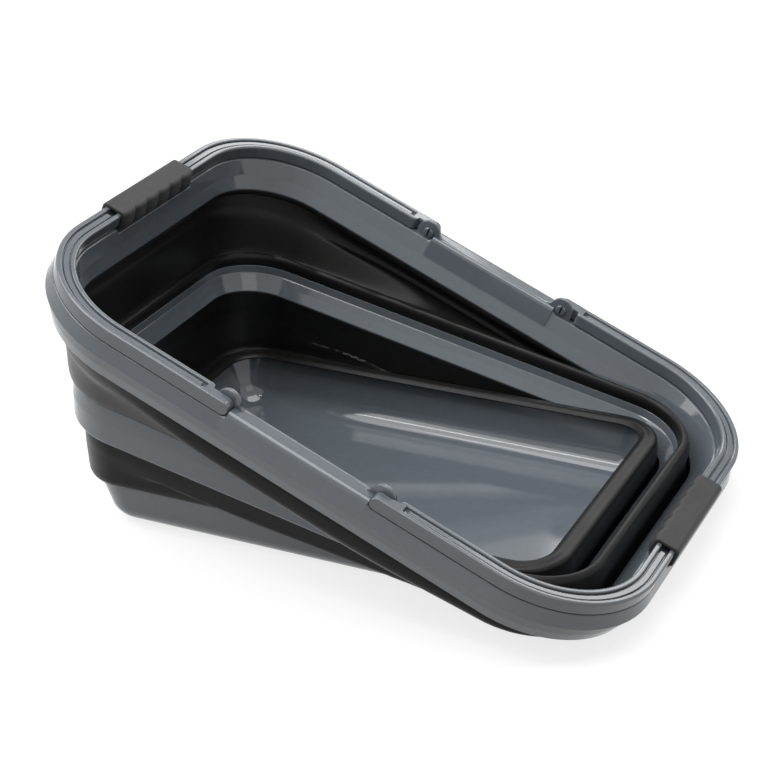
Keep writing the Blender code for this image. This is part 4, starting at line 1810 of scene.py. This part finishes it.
    def build(self, materials: Materials) -> list[bpy.types.Object]:
        """Make and dress both halves.

        Args:
            materials: the finishes by slot.

        Returns:
            The two pieces.
        """
        pieces = []
        names = ("lower_half", "upper_half")
        for half, (mesh, weights) in enumerate(self.halves()):
            name = f"{self.stage.value}_band_{names[half]}"
            piece = add_piece(name, mesh, Matrix.Identity(4), materials[Slot.RUBBER])
            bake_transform(piece)
            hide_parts(self.node)
            pieces.append(piece)
        return pieces


def flowing(knots: Sequence[Vector], steps: int) -> list[Vector]:
    """A smooth run of points through the knots, with even parts between them.

    Args:
        knots: the points to pass through.
        steps: parts between two knots.

    Returns:
        The run.
    """
    extended = [knots[0] * 2 - knots[1], *knots, knots[-1] * 2 - knots[-2]]
    run = []
    for index in range(len(knots) - 1):
        a, b, c, d = extended[index : index + 4]
        t0 = 0.0
        t1 = t0 + math.sqrt((b - a).length)
        t2 = t1 + math.sqrt((c - b).length)
        t3 = t2 + math.sqrt((d - c).length)
        for step in range(steps):
            t = mix(t1, t2, step / steps)
            ab = a.lerp(b, (t - t0) / (t1 - t0))
            bc = b.lerp(c, (t - t1) / (t2 - t1))
            cd = c.lerp(d, (t - t2) / (t3 - t2))
            abc = ab.lerp(bc, (t - t0) / (t2 - t0))
            bcd = bc.lerp(cd, (t - t1) / (t3 - t1))
            run.append(abc.lerp(bcd, (t - t1) / (t2 - t1)))
    run.append(knots[-1].copy())
    return run


def measured(run: Sequence[Vector]) -> list[float]:
    """The length of a run up to each of its points.

    Args:
        run: the run's points.

    Returns:
        The lengths, from 0.
    """
    lengths = [0.0]
    for before, after in zip(run[:-1], run[1:]):
        lengths.append(lengths[-1] + (after - before).length)
    return lengths


def walked(run: Sequence[Vector], lengths: Sequence[float], shares: Sequence[float]) -> list[Vector]:
    """The points at these shares of a run's length.

    Args:
        run: the run's points.
        lengths: the run's length up to each of them.
        shares: rising shares of the whole length.

    Returns:
        The points, one for each share.
    """
    found = []
    index = 0
    for share in shares:
        goal = share * lengths[-1]
        while index < len(run) - 2 and lengths[index + 1] < goal:
            index += 1
        part = (goal - lengths[index]) / (lengths[index + 1] - lengths[index])
        found.append(run[index].lerp(run[index + 1], min(max(part, 0.0), 1.0)))
    return found


def held_by(stage: Stage, inset: float, height: float, *offsets: Point) -> list[BandPoint]:
    """Points of a band's section that one moulding holds.

    Args:
        stage: whether the lower or the upper moulding holds them.
        inset: the inset that they are measured from.
        height: the height that they are measured from.
        offsets: the points, from there inwards and up.

    Returns:
        The points in order.
    """
    return [(stage, inset + inwards, height + up) for inwards, up in offsets]


@dataclass
class BandShapes:
    """Sections of both bands along the middle of their sheets, as insets and heights.

    The rolls and the depth are the places that the bands' loose points are measured from.
    """

    half_sheet: float = 1.0
    bead_width: float = 9.4
    bead_half: float = 1.6
    lower_roll: float = 43.6
    upper_roll: float = 7.7
    upper_depth: float = 52.0
    ring_bite: float = 1.6
    ring_play: float = 0.4

    def lower_band(self) -> RubberBand:
        """The band from the bead on the tray's edge to the underside of the ring.

        Returns:
            The band, whose key sections run from drawn out to folded.
        """
        low, high = Stage.LOWER, Stage.UPPER
        gap, half, bead = FITS.gap, self.half_sheet, self.bead_half
        seat = gap + half
        edge, roll = BASE.rim_inset, self.lower_roll
        on_edge = held_by(
            low, edge, gap,
            (self.bead_width, half + 0.1),
            (0.64 * self.bead_width, 1.2 * bead),
            (0.22 * self.bead_width, 0.9 * bead),
            (-0.8, half + 0.2),
        )
        drawn = held_by(low, edge, seat, (-3.4, 0.4), (-4.7, 2.7), (-5.1, 10.7))
        drawn += held_by(high, roll, 0.0, (-0.4, -44.0), (-1.4, -36.5), (-1.4, -30.0))
        shallow = held_by(low, edge, seat, (-2.1, -0.4))
        shallow += held_by(
            high, roll, 0.0, (2.6, -45.6), (1.7, -46.4), (0.7, -45.2), (-0.2, -39.0), (-1.1, -31.0)
        )
        rolled = held_by(low, edge, 0.0, (-1.7, -1.0))
        rolled += held_by(
            high, roll, 0.0, (3.8, -37.5), (2.5, -42.0), (0.6, -41.6), (-0.4, -36.0), (-1.1, -30.0)
        )
        tight = held_by(low, edge, 0.0, (-1.9, -1.5))
        tight += held_by(
            high, roll, 0.0, (3.7, -24.0), (3.5, -35.0), (1.8, -38.8), (0.0, -37.0), (-1.0, -30.0)
        )
        folded = held_by(low, edge, 0.0, (-2.1, -2.0), (-1.7, -14.0))
        folded += held_by(high, roll, 0.0, (3.3, -21.5), (2.0, -25.4), (0.0, -26.6), (-1.3, -24.6))
        ring_inset = RING.neck_inset - self.ring_bite
        ring_drop = -RING.neck_drop - FITS.seam - self.ring_play
        under_ring = held_by(high, ring_inset, ring_drop, (0.1, -5.0), (0.0, 0.0))
        under_folded = held_by(high, ring_inset, ring_drop, (0.1, -3.0), (0.0, 0.0))
        keys = [
            (0.76, on_edge + drawn + under_ring),
            (0.62, on_edge + shallow + under_ring),
            (0.42, on_edge + rolled + under_ring),
            (0.16, on_edge + tight + under_ring),
            (0.0, on_edge + folded + under_folded),
        ]
        thick = [0.9 * half, bead, 0.85 * bead]
        halves_at = thick + [half] * (len(keys[0][1]) - len(thick))
        base_top = Matrix.Translation((0, 0, BASE.height))
        bodies = ("base", "lower_band", "ring")
        return RubberBand(
            low, base_top, FOLD.ring_top, FOLD.ring_reach, keys, halves_at, bodies, "lower_band"
        )

    def upper_band(self) -> RubberBand:
        """The band from the seat in the ring's top to the neck of the rim.

        Returns:
            The band, whose key sections run from drawn out to folded.
        """
        low, high = Stage.LOWER, Stage.UPPER
        seat = RING.outer_inset + RING.outer_wall + FITS.gap + self.half_sheet
        outside = RING.outer_inset - FITS.gap - self.half_sheet
        over = RING.wall_rise + FITS.gap + self.half_sheet
        roll, depth, under = self.upper_roll, -self.upper_depth, -FOLD.rim_depth
        neck_inset = RIM.neck_inset - RIM.sheet / 2
        neck_drop = -RIM.neck_depth - FITS.seam
        lip = held_by(low, seat, 0.0, (0.0, FITS.seam)) + held_by(low, seat, over, (0.1, -1.9), (-1.2, 0.7))
        collar = held_by(high, neck_inset, neck_drop, (-0.4, -3.2), (0.0, 0.0))
        collar_folded = held_by(high, neck_inset, neck_drop, (0.0, -1.0), (0.0, 0.0))
        drawn = held_by(low, outside, over, (0.0, 0.0), (-1.2, 1.8))
        drawn += held_by(high, roll, depth, (11.9, -3.5), (9.3, 0.5), (7.2, 5.0), (5.3, 9.5))
        drawn += held_by(high, roll, under, (3.9, -2.2), (9.5, -0.6))
        rolled = held_by(low, outside, over, (0.0, 0.0), (-2.0, -0.7))
        rolled += held_by(high, roll, depth, (6.8, 1.4), (3.1, 0.0), (0.1, 3.5), (-0.1, 9.5))
        rolled += held_by(high, roll, under, (1.6, -1.7), (9.5, -0.4))
        shallow = held_by(low, outside, over, (0.0, -0.3), (-2.2, -5.3))
        shallow += held_by(high, roll, under, (18.7, -0.5), (12.3, -5.6), (4.3, -6.4), (1.1, -4.6))
        shallow += held_by(high, roll, under, (2.6, -1.6), (9.5, -0.4))
        folded = held_by(low, outside, over, (-0.3, -0.9), (-2.2, -5.8), (-2.6, -15.3))
        folded += held_by(
            high, roll, under, (20.7, 6.5), (19.7, 2.4), (17.5, 1.0), (15.5, 1.5), (14.6, 2.4)
        )
        keys = [
            (0.8, lip + drawn + collar),
            (0.7, lip + rolled + collar),
            (0.335, lip + rolled + collar),
            (0.08, lip + shallow + collar),
            (0.0, lip + folded + collar_folded),
        ]
        halves_at = [self.half_sheet] * len(keys[0][1])
        bodies = ("ring", "upper_band", "rim")
        return RubberBand(
            high, FOLD.ring_top, FOLD.rim_top, FOLD.rim_reach, keys, halves_at, bodies, "upper_band"
        )


# Studio
@dataclass(frozen=True)
class Lamp:
    """A soft rectangular lamp."""

    name: str
    place: tuple[float, float, float]
    aim: tuple[float, float, float]
    size: tuple[float, float]
    power: float


LAMPS = (
    Lamp("key_lamp", place=(-1.15, -0.5, 1.5), aim=(0.0, 0.0, 0.08), size=(1.7, 1.7), power=26.0),
    Lamp("strip_lamp", place=(-0.62, -0.65, 1.6), aim=(-0.62, 0.0, 0.05), size=(1.3, 0.1), power=4.5),
    Lamp("back_lamp", place=(0.2, 1.7, 1.3), aim=(0.0, 0.0, 0.05), size=(1.6, 0.3), power=6.0),
    Lamp("top_lamp", place=(0.1, 0.15, 1.9), aim=(0.0, 0.0, 0.05), size=(1.5, 1.2), power=24.0),
    Lamp("fill_lamp", place=(1.6, -1.0, 1.0), aim=(0.0, 0.0, 0.05), size=(1.0, 1.0), power=3.0),
)
WHITE = (1.0, 1.0, 1.0, 1.0)


@dataclass
class Studio:
    """The pale floor, the soft lamps and the camera."""

    floor_half: float = 6.0
    floor_drop: float = 0.0003
    floor_colour: tuple[float, float, float] = (0.32, 0.32, 0.32)
    floor_roughness: float = 0.9
    floor_glow: float = 0.78
    ambient: float = 0.27
    lens: float = 93.045
    sensor: float = 36.0
    camera_place: tuple[float, float, float] = (0.555942, -1.090928, 0.696285)
    yaw: float = 26.531
    pitch: float = -26.607
    roll: float = -1.964
    lamps: tuple[Lamp, ...] = LAMPS

    def seen_by_rays(self, tree: bpy.types.NodeTree) -> bpy.types.NodeSocket:
        """Tell rays of the camera, of gloss and of glass from the rest.

        Args:
            tree: the tree that asks.

        Returns:
            The socket that gives 1 for them and 0 for the rest.
        """
        path = tree.nodes.new("ShaderNodeLightPath")
        seen = path.outputs["Is Camera Ray"]
        for label in ("Is Glossy Ray", "Is Transmission Ray"):
            seen = maths_in(tree, "MAXIMUM", seen, path.outputs[label])
        return seen

    def build_world(self) -> None:
        """A white surround whose light on the object is plain and even."""
        world = bpy.data.worlds.new("studio")
        bpy.context.scene.world = world
        world.use_nodes = True
        tree = world.node_tree
        background = tree.nodes["Background"]
        background.inputs["Color"].default_value = WHITE
        strength = range_in(tree, self.seen_by_rays(tree), (0.0, 1.0), (self.ambient, 1.0))
        tree.links.new(strength, background.inputs["Strength"])

    def build_floor(self) -> None:
        """The pale floor, which keeps the bucket's shadow."""
        material = bpy.data.materials.new("pale_floor")
        material.use_nodes = True
        tree = material.node_tree
        shader = tree.nodes["Principled BSDF"]
        shader.inputs["Base Color"].default_value = (*self.floor_colour, 1.0)
        shader.inputs["Roughness"].default_value = self.floor_roughness
        shader.inputs["Specular IOR Level"].default_value = 0.0
        shader.inputs["Emission Color"].default_value = WHITE
        glow = maths_in(tree, "MULTIPLY", self.seen_by_rays(tree), self.floor_glow)
        tree.links.new(glow, shader.inputs["Emission Strength"])
        half = self.floor_half
        mesh = bpy.data.meshes.new("floor")
        signs = ((-1, -1), (1, -1), (1, 1), (-1, 1))
        mesh.from_pydata([(x * half, y * half, -self.floor_drop) for x, y in signs], [], [(0, 1, 2, 3)])
        mesh.materials.append(material)
        floor = linked("floor", mesh)

    def build_lamps(self) -> None:
        """The soft lamps."""
        for lamp in self.lamps:
            light = bpy.data.lights.new(lamp.name, "AREA")
            light.shape = "RECTANGLE"
            light.size, light.size_y = lamp.size
            light.energy = lamp.power
            way = Vector(lamp.aim) - Vector(lamp.place)
            turn = way.to_track_quat("-Z", "Y").to_matrix().to_4x4()
            linked(lamp.name, light).matrix_world = Matrix.Translation(lamp.place) @ turn

    def build_camera(self) -> None:
        """The camera at the photograph's viewing angle."""
        yaw, pitch, roll = (math.radians(a) for a in (self.yaw, self.pitch, self.roll))
        reach = math.cos(pitch)
        forward = Vector((-math.sin(yaw) * reach, math.cos(yaw) * reach, math.sin(pitch)))
        level = forward.cross(Vector((0, 0, 1))).normalized()
        upright = level.cross(forward)
        right = level * math.cos(roll) + upright * math.sin(roll)
        up = upright * math.cos(roll) - level * math.sin(roll)
        data = bpy.data.cameras.new("camera")
        data.lens = self.lens
        data.sensor_width = self.sensor
        camera = linked("camera", data)
        turn = Matrix((right, up, -forward)).transposed().to_4x4()
        camera.matrix_world = Matrix.Translation(self.camera_place) @ turn
        bpy.context.scene.camera = camera

    def build(self) -> None:
        """Set up floor, light, surround and camera."""
        bpy.context.scene.view_settings.view_transform = "Standard"
        self.build_world()
        self.build_floor()
        self.build_lamps()
        self.build_camera()


def main() -> None:
    """Dress the bucket piece by piece, then light it."""
    logging.basicConfig(level=logging.INFO, format="%(name)s: %(message)s")
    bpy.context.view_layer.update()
    effects = SharedEffects.build()
    materials = {finish.slot: finish.build(effects) for finish in FINISHES}
    shapes = BandShapes()
    builders: list[Callable[[Materials], list[bpy.types.Object]]] = [
        BASE.build,
        shapes.lower_band().build,
        RING.build,
        shapes.upper_band().build,
        RIM.build,
        PINS.build,
    ]
    pieces: list[bpy.types.Object] = []
    for builder in builders:
        pieces += builder(materials)
    for end in End:
        pieces.append(HANDLE.build(end, GRIP.half, materials))
        pieces.append(GRIP.build(end, materials))
    for piece in pieces:
        LOG.info("%s: %d faces", piece.name, len(piece.data.polygons))
    Studio().build()


if __name__ == "__main__":
    main()
